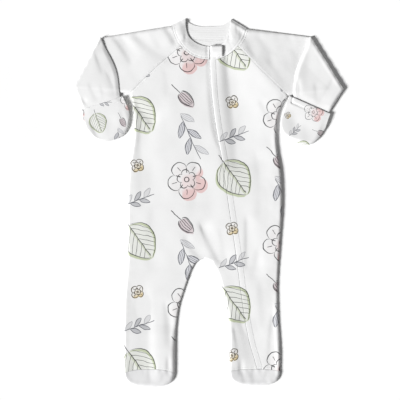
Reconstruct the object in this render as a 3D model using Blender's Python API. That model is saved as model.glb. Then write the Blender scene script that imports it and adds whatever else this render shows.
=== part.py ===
"""Footed baby sleepsuit, laid out flat on its back with both sleeves turned forward at the elbow.

Every cut and sewn piece is one closed solid: a wall of cloth between an outer and an inner surface.
Sizes here are in millimetres and become metres when a mesh is made.  The garment lies on z = 0.
The back layer is flat on the surface.  The front layer lies over it, raised by the air left between
the two, which falls to nothing at the outline, and marked by the main folds.
Left and right are as seen from above with the neck at the top (+Y).
"""

import bmesh
import bpy
import numpy as np

MM = 0.001
SHARP_ANGLE = 0.7

# ---------------------------------------------------------------- driving dimensions, millimetres
CLOTH = 1.2            # wall of every piece
PLY_GAP = 0.3          # between pieces that lie on each other
SEAM_SHIFT = 0.25      # each side of a raglan seam moves this far across, for a 0.3 gap
NECK_SHIFT = 0.55      # the panels stay this far below the neckband's sewn edge
HALF_SEAM = 0.17       # half of the gap at the upright seams
BODY_LIFT = 3.0        # most air between the front and the back of the body
SLEEVE_LIFT = 1.4      # and inside the upper arms
FOREARM_LIFT = 1.8     # and inside the forearms
CUFF_LIFT = 2.4        # and inside the mitten cuffs
NECK_LIFT_SHARE = 0.5  # the front lies lower round the neck opening
EDGE_ROLL = 24.0       # width over which the front comes down to the outline
FOREARM_ROLL = 16.0
CUFF_ROLL = 18.0

NECK_ROW = 240.6       # height of the front neckline's ends
UNDERARM_ROW = 166.0
CROTCH = (-8.3, -84.5)
ANKLE_ROW = -253.5
HEEL_ROW = -205.0
HEEL_ROUND = 22.0
HEEL_GAP = 0.35
TOE_DEPTH = {"left": 25.4, "right": 23.8}
TOE_ROUND = 3.0        # power of the toe's rounded outline

ZIP_WIDTH = 7.0
COVER_WIDTH = 8.2
COVER_CROWN = 0.9
GUARD_LEFT = 1.4
GUARD_RIGHT = 20.8
GUARD_TOP = 241.4
GUARD_BOTTOM = 224.0
GUARD_RAISE = 2.9      # the guard stands this far up over the slider
SLIDER_SIZE = (4.6, 8.5, 2.2)
SLIDER_ROW = 231.5

SIDE_INSET = 1.2       # a tube's edge is chamfered this far in
INNER_INSET = 2.1
WRIST_HALF = 28.8      # half of the sleeve's flat width at the wrist
SLEEVE_IN_CUFF = 8.0   # how far the sleeve reaches into the cuff
DROP_LENGTH = 12.0     # over this length the forearm comes down off the upper arm
INNER_BOW = 7.0        # the forearm's inner edge bows toward the body
CUFF_ROUND = 2.8
CUFF_CLEAR = 0.5       # between the sleeve's end and the cuff over it
CUFF_SPREAD = 28.0     # over this length the cuff widens from its mouth

# ------------------------------------------------------------- outline tables, columns y, x (mm)
SIDE_LEFT = np.array([
    (167.9, -121.5), (149.0, -116.9), (130.0, -115.4), (97.0, -115.4), (80.0, -118.2),
    (43.0, -123.0), (0.0, -124.5), (-90.0, -124.5), (-148.0, -129.1), (-194.0, -130.7),
    (-262.0, -130.0),
])
SIDE_RIGHT = np.array([
    (164.1, 120.3), (149.0, 109.7), (135.0, 104.8), (109.0, 102.2), (81.0, 103.8),
    (51.0, 108.8), (5.0, 111.1), (-62.0, 107.8), (-125.0, 104.4), (-163.0, 104.8),
    (-217.0, 108.2), (-262.0, 108.2),
])
INSEAM_LEFT = np.array([
    (-84.5, -8.3), (-87.6, -15.9), (-93.0, -22.0), (-100.6, -26.6), (-110.0, -30.4),
    (-134.0, -38.9), (-159.0, -46.5), (-186.0, -50.3), (-262.0, -52.6),
])
INSEAM_RIGHT = np.array([
    (-84.5, -8.3), (-86.8, -0.6), (-93.7, 5.5), (-102.0, 10.9), (-111.0, 14.7),
    (-136.0, 21.6), (-166.0, 28.5), (-184.0, 30.0), (-262.0, 30.8),
])
RAGLAN_LEFT = np.array([(240.6, -43.5), (213.0, -75.6), (184.0, -106.2), (167.9, -121.5)])
RAGLAN_RIGHT = np.array([(240.6, 43.8), (208.5, 74.4), (178.6, 105.0), (164.1, 120.3)])
BACK_RAGLAN_LEFT = np.array([(260.5, -43.5), (214.0, -82.7), (167.9, -121.5)])
BACK_RAGLAN_RIGHT = np.array([(259.0, 43.8), (211.5, 82.0), (164.1, 120.3)])
ZIP_LINE = np.array([
    (242.0, 0.4), (219.0, 0.9), (166.0, 4.0), (117.0, 10.1), (66.0, 19.3), (-3.0, 29.2),
    (-64.0, 38.4), (-133.0, 47.6), (-189.0, 56.0), (-217.0, 62.1), (-243.0, 69.8),
    (-262.0, 75.0),
])

# ---------------------------------------------------------------- neckband, columns x, y (mm)
BAND_SEAM_FRONT_LEFT = np.array([
    (0.7, 219.2), (-15.9, 221.5), (-29.7, 227.6), (-43.5, 240.6), (-52.6, 255.9), (-57.2, 271.2),
])
BAND_FREE_FRONT_LEFT = np.array([
    (0.3, 239.8), (-8.3, 240.6), (-20.5, 245.2), (-31.2, 254.4), (-35.8, 268.1), (-36.6, 281.1),
])
BAND_SEAM_BACK = np.array([
    (-57.2, 271.2), (-43.5, 260.5), (-26.6, 252.1), (-0.6, 248.2), (25.4, 252.1),
    (43.8, 259.0), (56.0, 266.6),
])
BAND_FREE_BACK = np.array([
    (-36.6, 281.1), (-29.7, 275.4), (-20.5, 271.6), (-0.6, 270.4), (19.3, 272.2), (33.0, 280.4),
])
BAND_SEAM_FRONT_RIGHT = np.array([
    (56.0, 266.6), (52.2, 254.4), (43.8, 240.6), (33.0, 229.9), (19.3, 222.2), (8.0, 219.2),
])
BAND_FREE_FRONT_RIGHT = np.array([
    (33.0, 280.4), (31.5, 268.1), (27.7, 254.4), (20.0, 243.4), (7.6, 239.8),
])
NECK_CENTRE = (-1.0, 262.0)
NECK_RADIUS = 62.0

# Sleeve corners, columns x, y: top and bottom of the elbow fold, then the mitten cuff's mouth
# from its left end to its right end.
SLEEVES = {
    "left": {
        "neck_top": (-57.2, 271.2), "elbow_top": (-165.9, 254.4), "elbow_low": (-208.7, 175.6),
        "underarm": (-121.5, 167.9), "mouth_left": (-193.4, 143.4), "mouth_right": (-134.5, 162.6),
        "mouth_half": 32.4, "mouth_aside": 0.4,
        "cuff_half": 35.2, "cuff_depth": 58.8, "cuff_aside": 0.4,
    },
    "right": {
        "neck_top": (56.0, 266.6), "elbow_top": (154.4, 255.9), "elbow_low": (206.2, 173.6),
        "underarm": (120.3, 164.1), "mouth_left": (126.4, 161.8), "mouth_right": (183.0, 137.3),
        "mouth_half": 33.6, "mouth_aside": -1.6,
        "cuff_half": 34.2, "cuff_depth": 60.4, "cuff_aside": -0.2,
    },
}

# Main folds of the front: from x0, y0 to x1, y1, height (troughs are negative), half width.
FOLDS = np.array([
    (-149.0, 250.0, -126.0, 219.0, -0.9, 6.0),
    (-111.0, 257.0, -68.0, 227.0, -1.0, 9.0),
    (-5.0, 189.0, -2.0, 104.0, -1.2, 6.0),
    (20.0, 214.0, 36.0, 84.0, -1.6, 9.0),
    (-103.0, 130.0, -105.0, 5.0, -1.3, 8.0),
    (-111.0, 146.0, -88.0, 124.0, -1.2, 6.5),
    (-22.0, -36.0, 8.0, -80.0, -1.5, 7.0),
    (-34.0, -60.0, -14.0, -82.0, -1.1, 5.5),
    (57.5, -33.0, 58.0, -112.0, -1.3, 8.0),
    (-118.0, -172.0, -119.0, -240.0, -1.0, 6.0),
    (-62.0, -160.0, -61.0, -208.0, -1.1, 6.0),
    (40.0, -184.0, 45.0, -250.0, -1.7, 7.0),
    (95.0, -186.0, 97.0, -246.0, -1.2, 7.0),
    (-20.5, 50.0, -21.5, 8.0, -0.8, 8.0),
    (78.0, 150.0, 96.0, 128.0, -1.2, 7.0),
    (-84.0, -214.0, -82.0, -250.0, 0.7, 8.0),
])

MATERIALS = {
    "print": ((0.90, 0.90, 0.89), 0.85),
    "plain": ((0.88, 0.88, 0.88), 0.85),
    "foot": ((0.80, 0.80, 0.81), 0.88),
    "band": ((0.86, 0.86, 0.86), 0.85),
    "zip": ((0.82, 0.82, 0.83), 0.60),
    "slider": ((0.85, 0.85, 0.86), 0.35),
}


# ------------------------------------------------------------------------------ curve helpers
def smooth_value(table, at):
    """Value of a smooth curve through a two-column table, at the first column's value."""
    order = np.argsort(table[:, 0])
    knots = table[order, 0]
    values = table[order, 1]
    slopes = np.gradient(values, knots)
    at = np.clip(at, knots[0], knots[-1])
    i = np.clip(np.searchsorted(knots, at) - 1, 0, len(knots) - 2)
    span = knots[i + 1] - knots[i]
    t = (at - knots[i]) / span
    start = (2 * t**3 - 3 * t**2 + 1) * values[i] + (t**3 - 2 * t**2 + t) * span * slopes[i]
    end = (-2 * t**3 + 3 * t**2) * values[i + 1] + (t**3 - t**2) * span * slopes[i + 1]
    return start + end


def along(points, shares):
    """Points on a smooth curve through a list of points, at shares 0 to 1 of its length."""
    points = np.asarray(points, float)
    steps = np.linalg.norm(np.diff(points, axis=0), axis=1)
    length = np.concatenate([[0.0], np.cumsum(steps)])
    at = np.asarray(shares) * length[-1]
    x = smooth_value(np.column_stack([length, points[:, 0]]), at)
    y = smooth_value(np.column_stack([length, points[:, 1]]), at)
    return np.column_stack([x, y])


def smooth_step(t):
    """0 to 1 with level ends."""
    t = np.clip(t, 0.0, 1.0)
    return t * t * (3.0 - 2.0 * t)


def mix(a, b, t):
    """Straight blend from a to b."""
    return a + (b - a) * t


def even_sine(count):
    """Shares 0 to 1, closer together toward both ends."""
    return 0.5 + 0.5 * np.sin(np.pi / 2 * np.linspace(-1.0, 1.0, count))


def distance_to_line(x, y, line):
    """Distance from each point to the nearest of a polyline's segments."""
    start = line[:-1]
    run = line[1:] - start
    point = np.stack([x, y], axis=-1)[..., None, :]
    share = np.sum((point - start) * run, axis=-1) / np.sum(run * run, axis=-1)
    near = start + np.clip(share, 0.0, 1.0)[..., None] * run
    return np.sqrt(np.sum((point - near) ** 2, axis=-1).min(axis=-1))


# -------------------------------------------------------------------------- outline of the whole
def left_edge(y):
    """Left edge of the front: raglan seam above the underarm, side below it."""
    return np.where(y > RAGLAN_LEFT[-1, 0], smooth_value(RAGLAN_LEFT, y) + SEAM_SHIFT,
                    smooth_value(SIDE_LEFT, y))


def right_edge(y):
    """Right edge of the front."""
    return np.where(y > RAGLAN_RIGHT[-1, 0], smooth_value(RAGLAN_RIGHT, y) - SEAM_SHIFT,
                    smooth_value(SIDE_RIGHT, y))


def back_left_edge(y):
    """Left edge of the back, whose raglan seam sits higher than the front's."""
    return np.where(y > BACK_RAGLAN_LEFT[-1, 0], smooth_value(BACK_RAGLAN_LEFT, y) + SEAM_SHIFT,
                    smooth_value(SIDE_LEFT, y))


def back_right_edge(y):
    """Right edge of the back."""
    return np.where(y > BACK_RAGLAN_RIGHT[-1, 0], smooth_value(BACK_RAGLAN_RIGHT, y) - SEAM_SHIFT,
                    smooth_value(SIDE_RIGHT, y))


def inseam_left(y):
    """Inner edge of the left leg."""
    return smooth_value(INSEAM_LEFT, y)


def inseam_right(y):
    """Inner edge of the right leg."""
    return smooth_value(INSEAM_RIGHT, y)


def zip_left(y):
    """Left edge of the zip, which bends from the neck to the right foot."""
    return smooth_value(ZIP_LINE, y)


LEGS = {
    "left": (float(smooth_value(SIDE_LEFT, ANKLE_ROW)), float(inseam_left(ANKLE_ROW)), 6.0),
    "right": (float(inseam_right(ANKLE_ROW)), float(smooth_value(SIDE_RIGHT, ANKLE_ROW)), 3.0),
}


def leg_across(x, leg):
    """-1 to 1 across a leg at the ankle."""
    low, high, _ = LEGS[leg]
    return np.clip(2.0 * (x - low) / (high - low) - 1.0, -1.0, 1.0)


def ankle_row(x, leg):
    """The seam between a leg and its toe piece, which dips at both sides."""
    return ANKLE_ROW - LEGS[leg][2] * np.abs(leg_across(x, leg)) ** 3


def heel_row(x, leg):
    """The rounded seam between the back of a leg and its sole."""
    return HEEL_ROW - HEEL_ROUND * leg_across(x, leg) ** 2


def toe_row(x, leg):
    """The rounded end of a foot."""
    across = np.abs(leg_across(x, leg))
    return ANKLE_ROW - 1.5 - TOE_DEPTH[leg] * (1.0 - across**TOE_ROUND) ** (1.0 / TOE_ROUND)


def silhouette():
    """Outline of the front layer, open at the neck."""
    down = np.linspace(160.0, ANKLE_ROW, 30)
    inner = np.concatenate([[-84.5, -85.4, -87.0, -90.0], np.linspace(-95.0, ANKLE_ROW, 14)])
    toes = {}
    for leg, (low, high, _) in LEGS.items():
        x = mix(low, high, even_sine(13))
        toes[leg] = np.column_stack([x, toe_row(x, leg)])
    left, right = SLEEVES["left"], SLEEVES["right"]
    parts = [
        [BAND_FREE_BACK[0], left["neck_top"], left["elbow_top"], left["elbow_low"]],
        [left["underarm"]],
        np.column_stack([smooth_value(SIDE_LEFT, down), down]),
        toes["left"],
        np.column_stack([inseam_left(inner), inner])[::-1],
        np.column_stack([inseam_right(inner), inner])[1:],
        toes["right"],
        np.column_stack([smooth_value(SIDE_RIGHT, down), down])[::-1],
        [right["underarm"], right["elbow_low"], right["elbow_top"], right["neck_top"]],
        [BAND_FREE_BACK[-1]],
    ]
    line = np.vstack([np.asarray(part, float) for part in parts])
    keep = np.concatenate([[True], np.linalg.norm(np.diff(line, axis=0), axis=1) > 0.01])
    return line[keep]


SILHOUETTE = silhouette()


def soft_lift(x, y):
    """Air under the front layer, before its folds."""
    to_sleeve = smooth_step((np.abs(x) - 95.0) / 55.0)
    from_neck = smooth_step(np.hypot(x - NECK_CENTRE[0], y - NECK_CENTRE[1]) / NECK_RADIUS)
    most = mix(BODY_LIFT, SLEEVE_LIFT, to_sleeve) * mix(NECK_LIFT_SHARE, 1.0, from_neck)
    edge = distance_to_line(x, y, SILHOUETTE)
    return most * np.sin(np.pi / 2 * np.clip(edge / EDGE_ROLL, 0.0, 1.0))


def fold_height(x, y):
    """Sum of the main folds' heights, each fading out past its ends."""
    total = np.zeros(np.shape(x))
    for x0, y0, x1, y1, height, half in FOLDS:
        line = np.array([(x0, y0), (x1, y1)])
        total = total + height * np.exp(-((distance_to_line(x, y, line) / half) ** 2))
    return total


def front_under(x, y):
    """Height of the front layer's lower side."""
    edge = distance_to_line(x, y, SILHOUETTE)
    folds = fold_height(x, y) * np.clip(edge / 10.0, 0.0, 1.0)
    return CLOTH + PLY_GAP + np.maximum(soft_lift(x, y) + folds, 0.0)


def front_top(x, y):
    """Height of the front layer's upper side."""
    return front_under(x, y) + CLOTH


# --------------------------------------------------------------------------------- mesh helpers
def grid_quads(rows, columns, first=0):
    """Quads of a grid of points stored row by row, wound one way."""
    corner = first + np.arange(rows - 1)[:, None] * columns + np.arange(columns - 1)
    corner = corner.ravel()
    return np.column_stack([corner, corner + 1, corner + columns + 1, corner + columns])


def ring_quads(rings, count):
    """Quads of a tube of rings stored one after the other."""
    cells = grid_quads(rings, count + 1)
    return (cells // (count + 1)) * count + cells % (count + 1) % count


def joined_grids(grids):
    """One sheet from grids of (row, column, xy) points that share their meeting points."""
    points, quads, first = [], [], 0
    for grid in grids:
        rows, columns = grid.shape[:2]
        points.append(grid.reshape(-1, 2))
        quads.append(grid_quads(rows, columns, first))
        first += rows * columns
    points = np.vstack(points)
    _, keep, back = np.unique(np.round(points, 4), axis=0, return_index=True,
                              return_inverse=True)
    return points[keep], back.ravel()[np.vstack(quads)]


def make_wall(name, outer, inner, faces, material):
    """One closed solid between an outer and an inner sheet that have the same faces."""
    count = len(outer)
    faces = [tuple(int(i) for i in face) for face in faces]
    edges = [edge for face in faces for edge in zip(face, face[1:] + face[:1])]
    known = set(edges)
    sides = [(b, a, a + count, b + count) for a, b in edges if (b, a) not in known]
    backs = [tuple(i + count for i in reversed(face)) for face in faces]
    mesh = bpy.data.meshes.new(name)
    mesh.from_pydata((np.vstack([outer, inner]) * MM).tolist(), [], faces + backs + sides)
    work = bmesh.new()
    work.from_mesh(mesh)
    if work.calc_volume(signed=True) < 0:
        bmesh.ops.reverse_faces(work, faces=work.faces[:])
    work.to_mesh(mesh)
    work.free()
    mesh.materials.append(material)
    mesh.shade_smooth()
    mesh.set_sharp_from_angle(angle=SHARP_ANGLE)
    solid = bpy.data.objects.new(name, mesh)
    bpy.context.scene.collection.objects.link(solid)
    return solid


def make_flat_wall(name, grids, under, top, material):
    """A wall whose sheet is seen in plan and whose two sides are heights over it."""
    plan, quads = joined_grids(grids)
    x, y = plan[:, 0], plan[:, 1]
    outer = np.column_stack([x, y, np.broadcast_to(top(x, y), x.shape)])
    inner = np.column_stack([x, y, np.broadcast_to(under(x, y), x.shape)])
    return make_wall(name, outer, inner, quads, material)


def make_material(name):
    """A plain cloth, zip or metal material."""
    colour, roughness = MATERIALS[name]
    material = bpy.data.materials.new(name)
    material.use_nodes = True
    shader = material.node_tree.nodes["Principled BSDF"]
    shader.inputs["Base Color"].default_value = (*colour, 1.0)
    shader.inputs["Roughness"].default_value = roughness
    shader.inputs["Metallic"].default_value = 0.0
    return material


# --------------------------------------------------------------------------------------- panels
def block(rows, shares, low, high, neck=None, ankle=None):
    """A grid between two upright edges.

    rows are nominal heights and shares run 0 to 1 across.  neck and ankle give the height of the
    first and last row as a function of x; the rows between follow them less and less.
    """
    height = np.repeat(rows[:, None], len(shares), axis=1)
    if neck is not None:
        x = mix(low(rows[0]), high(rows[0]), shares)
        ramp = np.clip((rows - UNDERARM_ROW) / (rows[0] - UNDERARM_ROW), 0.0, 1.0)
        height = height + ramp[:, None] * (neck(x) - rows[0])
    if ankle is not None:
        x = mix(low(rows[-1]), high(rows[-1]), shares)
        ramp = np.clip((rows - rows[-1] - 45.0) / -45.0, 0.0, 1.0)
        height = height + ramp[:, None] * (ankle(x) - rows[-1])
    x = mix(low(height[:, 0])[:, None], high(height[:, -1])[:, None], shares)
    return np.dstack([x, height])


def body_rows(top, spacing):
    """Nominal heights from the neck to the crotch."""
    upper = np.linspace(top, UNDERARM_ROW, int((top - UNDERARM_ROW) / spacing) + 1)
    lower = np.linspace(UNDERARM_ROW, CROTCH[1], int((UNDERARM_ROW - CROTCH[1]) / spacing) + 1)
    return np.concatenate([upper, lower[1:]])


def leg_rows(bottom, spacing):
    """Nominal heights from the crotch to the foot, close together under the crotch."""
    under_crotch = CROTCH[1] - np.array([0.0, 0.7, 2.0, 4.5, 8.5, 14.5])
    rest = np.linspace(under_crotch[-1], bottom, int((under_crotch[-1] - bottom) / spacing) + 1)
    return np.concatenate([under_crotch, rest[1:]])


def front_neck_left(x):
    """Front neckline on the left, just below the neckband."""
    return smooth_value(BAND_SEAM_FRONT_LEFT[:4], x) - NECK_SHIFT


def front_neck_right(x):
    """Front neckline on the right."""
    return smooth_value(BAND_SEAM_FRONT_RIGHT[2:], x) - NECK_SHIFT


def back_neck(x):
    """Back neckline, just below the neckband."""
    return smooth_value(BAND_SEAM_BACK, x) - NECK_SHIFT


def front_wide(material):
    """Front left of the zip, its leg, the crotch and the inner strip of the other leg."""
    def zip_edge(y):
        return zip_left(y) - HALF_SEAM

    left_columns, right_columns = 11, 5
    width = zip_edge(CROTCH[1]) - left_edge(CROTCH[1])
    share = float((CROTCH[0] - left_edge(CROTCH[1])) / width)
    shares = np.concatenate([np.linspace(0.0, share, left_columns + 1),
                             np.linspace(share, 1.0, right_columns + 1)[1:]])
    body = block(body_rows(NECK_ROW, 9.0), shares, left_edge, zip_edge, neck=front_neck_left)
    rows = leg_rows(ANKLE_ROW, 9.0)
    leg = block(rows, np.linspace(0.0, 1.0, left_columns + 1), left_edge, inseam_left,
                ankle=lambda x: ankle_row(x, "left"))
    strip = block(rows, np.linspace(0.0, 1.0, right_columns + 1), inseam_right, zip_edge,
                  ankle=lambda x: ankle_row(x, "right"))
    return make_flat_wall("front_wide", [body, leg, strip], front_under, front_top, material)


def front_narrow(material):
    """Front right of the zip, with the outer strip of the right leg."""
    rows = np.concatenate([body_rows(NECK_ROW, 9.0), leg_rows(ANKLE_ROW, 9.0)[1:]])
    panel = block(rows, np.linspace(0.0, 1.0, 9),
                  lambda y: zip_left(y) + ZIP_WIDTH + HALF_SEAM, right_edge,
                  neck=front_neck_right, ankle=lambda x: ankle_row(x, "right"))
    return make_flat_wall("front_narrow", [panel], front_under, front_top, material)


def back_panel(material):
    """Back with both legs, flat on the surface."""
    shares = even_sine(11)
    width = back_right_edge(CROTCH[1]) - back_left_edge(CROTCH[1])
    share = float((CROTCH[0] - back_left_edge(CROTCH[1])) / width)
    both = np.concatenate([share * shares, share + (1.0 - share) * shares[1:]])
    body = block(body_rows(BACK_RAGLAN_LEFT[0, 0] - 0.5, 17.0), both, back_left_edge,
                 back_right_edge, neck=back_neck)
    rows = leg_rows(HEEL_ROW, 17.0)
    left = block(rows, shares, back_left_edge, inseam_left,
                 ankle=lambda x: heel_row(x, "left") + 2 * HALF_SEAM)
    right = block(rows, shares, inseam_right, back_right_edge,
                  ankle=lambda x: heel_row(x, "right") + 2 * HALF_SEAM)
    return make_flat_wall("back_panel", [body, left, right], lambda x, y: 0.0 * x,
                          lambda x, y: 0.0 * x + CLOTH, material)


def foot_pieces(leg, material):
    """The toe piece in front and the sole beneath one foot."""
    low, high, _ = LEGS[leg]
    x = mix(low, high, even_sine(11))
    inner = x[1:-1]
    down = np.linspace(0.0, 1.0, 5)[:, None]
    toe_y = mix(ankle_row(inner, leg) - 2 * HALF_SEAM, toe_row(inner, leg), down)
    toe = np.dstack([np.broadcast_to(inner, toe_y.shape), toe_y])
    make_flat_wall("toe_" + leg, [toe], front_under, front_top, material)
    sole_y = mix(heel_row(x, leg) - HEEL_GAP, toe_row(x, leg), down)
    sole = np.dstack([np.broadcast_to(x, sole_y.shape), sole_y])
    make_flat_wall("sole_" + leg, [sole], lambda x, y: 0.0 * x,
                   lambda x, y: 0.0 * x + CLOTH, material)


# ------------------------------------------------------------------------------------- the zip
def zip_tape(material):
    """Tape and coil, one strip between the two fronts and up through the neckband."""
    rows = np.concatenate([body_rows(NECK_ROW - 1.2, 9.0), leg_rows(ANKLE_ROW, 9.0)[1:]])
    strip = block(rows, np.linspace(0.0, 1.0, 3), lambda y: zip_left(y) + HALF_SEAM,
                  lambda y: zip_left(y) + ZIP_WIDTH - HALF_SEAM,
                  ankle=lambda x: ankle_row(x, "right"))
    make_flat_wall("zip_tape", [strip], front_under, front_top, material)


def zip_cover(material):
    """Narrow strip over the zip, arched a little, free along its left edge."""
    rows = np.concatenate([body_rows(GUARD_BOTTOM - 1.0, 9.0), leg_rows(ANKLE_ROW + 3.0, 9.0)[1:]])
    strip = block(rows, np.linspace(0.0, 1.0, 5), lambda y: zip_left(y) - 0.3,
                  lambda y: zip_left(y) + COVER_WIDTH)

    def under(x, y):
        across = np.clip((x - zip_left(y)) / COVER_WIDTH, 0.0, 1.0)
        return front_top(x, y) + PLY_GAP + COVER_CROWN * np.sin(np.pi * across)

    make_flat_wall("zip_cover", [strip], under, lambda x, y: under(x, y) + CLOTH, material)


def zip_guard(material):
    """Small patch folded over the top of the zip, standing up over the slider."""
    x, y = np.meshgrid(np.linspace(GUARD_LEFT, GUARD_RIGHT, 8),
                       np.linspace(GUARD_TOP, GUARD_BOTTOM, 6))

    def under(x, y):
        level = front_top(x, y) + PLY_GAP
        return level + GUARD_RAISE * (1.0 - smooth_step((x - 8.5) / 8.0))

    make_flat_wall("zip_guard", [np.dstack([x, y])], under, lambda x, y: under(x, y) + CLOTH,
                   material)


def zip_slider(material):
    """Slider body on the tape, under the guard: a short block with its upper edges sloped."""
    wide, long, tall = SLIDER_SIZE
    middle = float(zip_left(SLIDER_ROW)) + ZIP_WIDTH / 2 + 0.2
    x, y = np.meshgrid(middle + wide * np.linspace(-0.5, 0.5, 4),
                       SLIDER_ROW + long * np.linspace(0.5, -0.5, 4))
    level = float(front_top(np.array([middle]), np.array([SLIDER_ROW]))[0]) + PLY_GAP + 0.1
    rim = np.ones(x.shape)
    rim[1:-1, 1:-1] = 0.0
    outer = np.dstack([x, y, level + tall - 0.7 * rim]).reshape(-1, 3)
    inner = np.dstack([x, y, level + 0.0 * x]).reshape(-1, 3)
    make_wall("zip_slider", outer, inner, grid_quads(4, 4), material)


# ------------------------------------------------------------------------------------- neckband
def band_stretch(seam, free, count):
    """Pairs of a sewn and a free edge's points along one stretch of the neckband."""
    shares = np.linspace(0.0, 1.0, count)
    return np.stack([along(seam, shares), along(free, shares)], axis=1)


def fold_under(pairs, away):
    """The turn from the front level down to the back level, about a line of two points."""
    inner_radius = (front_under(pairs[:, 0], pairs[:, 1]) - CLOTH) / 2
    axis = CLOTH + inner_radius
    outer, inner = [], []
    for turn in np.radians([30.0, 60.0, 90.0, 120.0, 150.0]):
        for radius, sheet in ((inner_radius + CLOTH, outer), (inner_radius, inner)):
            plan = pairs + away * (radius * np.sin(turn))[:, None]
            sheet.append(np.column_stack([plan, axis + radius * np.cos(turn)]))
    return outer, inner


def neckband(material):
    """One strip from the zip round the back of the neck to the zip, folded under at each side."""
    left = band_stretch(BAND_SEAM_FRONT_LEFT, BAND_FREE_FRONT_LEFT, 18)
    back = band_stretch(BAND_SEAM_BACK, BAND_FREE_BACK, 19)
    right = band_stretch(BAND_SEAM_FRONT_RIGHT, BAND_FREE_FRONT_RIGHT, 18)

    def front_sheets(pairs):
        x, y = pairs[..., 0], pairs[..., 1]
        outer = [np.column_stack([a, b, c]) for a, b, c in zip(x, y, front_top(x, y))]
        inner = [np.column_stack([a, b, c]) for a, b, c in zip(x, y, front_under(x, y))]
        return outer, inner

    def away_from(pair, toward):
        run = pair[1] - pair[0]
        normal = np.array([-run[1], run[0]]) / np.hypot(*run)
        return normal * np.sign(normal @ toward)

    left_out, left_in = front_sheets(left)
    fold_out, fold_in = fold_under(left[-1], away_from(left[-1], np.array([-1.0, 1.0])))
    back_out = [np.column_stack([pair, [0.0, 0.0]]) for pair in back]
    back_in = [np.column_stack([pair, [CLOTH, CLOTH]]) for pair in back]
    other_out, other_in = fold_under(right[0], away_from(right[0], np.array([1.0, 1.0])))
    right_out, right_in = front_sheets(right)
    outer = np.array(left_out + fold_out + back_out + other_out[::-1] + right_out)
    inner = np.array(left_in + fold_in + back_in + other_in[::-1] + right_in)
    make_wall("neckband", outer.reshape(-1, 3), inner.reshape(-1, 3),
              grid_quads(len(outer), 2), material)


# ----------------------------------------------------------------------------- sleeves and cuffs
def cuff_frame(side):
    """Middle of the cuff's mouth, and unit directions along the mouth and down into the cuff."""
    spec = SLEEVES[side]
    left, right = np.array(spec["mouth_left"]), np.array(spec["mouth_right"])
    mouth = (right - left) / np.linalg.norm(right - left)
    return (left + right) / 2, mouth, np.array([mouth[1], -mouth[0]])


def ring_shares(start, end, inset, count):
    """Points from start to end, kept in from both ends, then nearly even."""
    length = np.linalg.norm(end - start)
    shares = np.linspace(0.0, 1.0, count)
    shares[0] = inset / length
    shares[-1] = 1.0 - inset / length
    return start + shares[:, None] * (end - start)


def armhole_points(side, layer, inset, neck_count, count):
    """Where one layer of a sleeve ends: down the neckband, then down the raglan seam."""
    spec = SLEEVES[side]
    sign = -1.0 if side == "left" else 1.0
    if layer == "front":
        seam = BAND_SEAM_FRONT_LEFT[3:][::-1] if side == "left" else BAND_SEAM_FRONT_RIGHT[:3]
        raglan = RAGLAN_LEFT if side == "left" else RAGLAN_RIGHT
        neck_shift = np.array([0.6 * sign, 0.0])
    else:
        seam = BAND_SEAM_BACK[:2] if side == "left" else BAND_SEAM_BACK[-2:][::-1]
        raglan = BACK_RAGLAN_LEFT if side == "left" else BACK_RAGLAN_RIGHT
        neck_shift = np.array([0.45 * sign, -0.45])
    neck = along(seam, np.linspace(0.0, 1.0, neck_count + 1)) + neck_shift
    rows = np.linspace(raglan[0, 0], spec["underarm"][1], count - neck_count)
    seam_x = smooth_value(raglan, rows) + sign * SEAM_SHIFT
    line = np.vstack([neck[:-1], np.column_stack([seam_x, rows])])
    line[neck_count] = line[neck_count] + np.array([0.35 * sign, 0.0])
    first = line[0] + (line[1] - line[0]) * inset / np.linalg.norm(line[1] - line[0])
    last = line[-1] + (line[-2] - line[-1]) * inset / np.linalg.norm(line[-2] - line[-1])
    ends = line[0].copy(), line[-1].copy()
    line[0], line[-1] = first, last
    return line, ends


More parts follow.
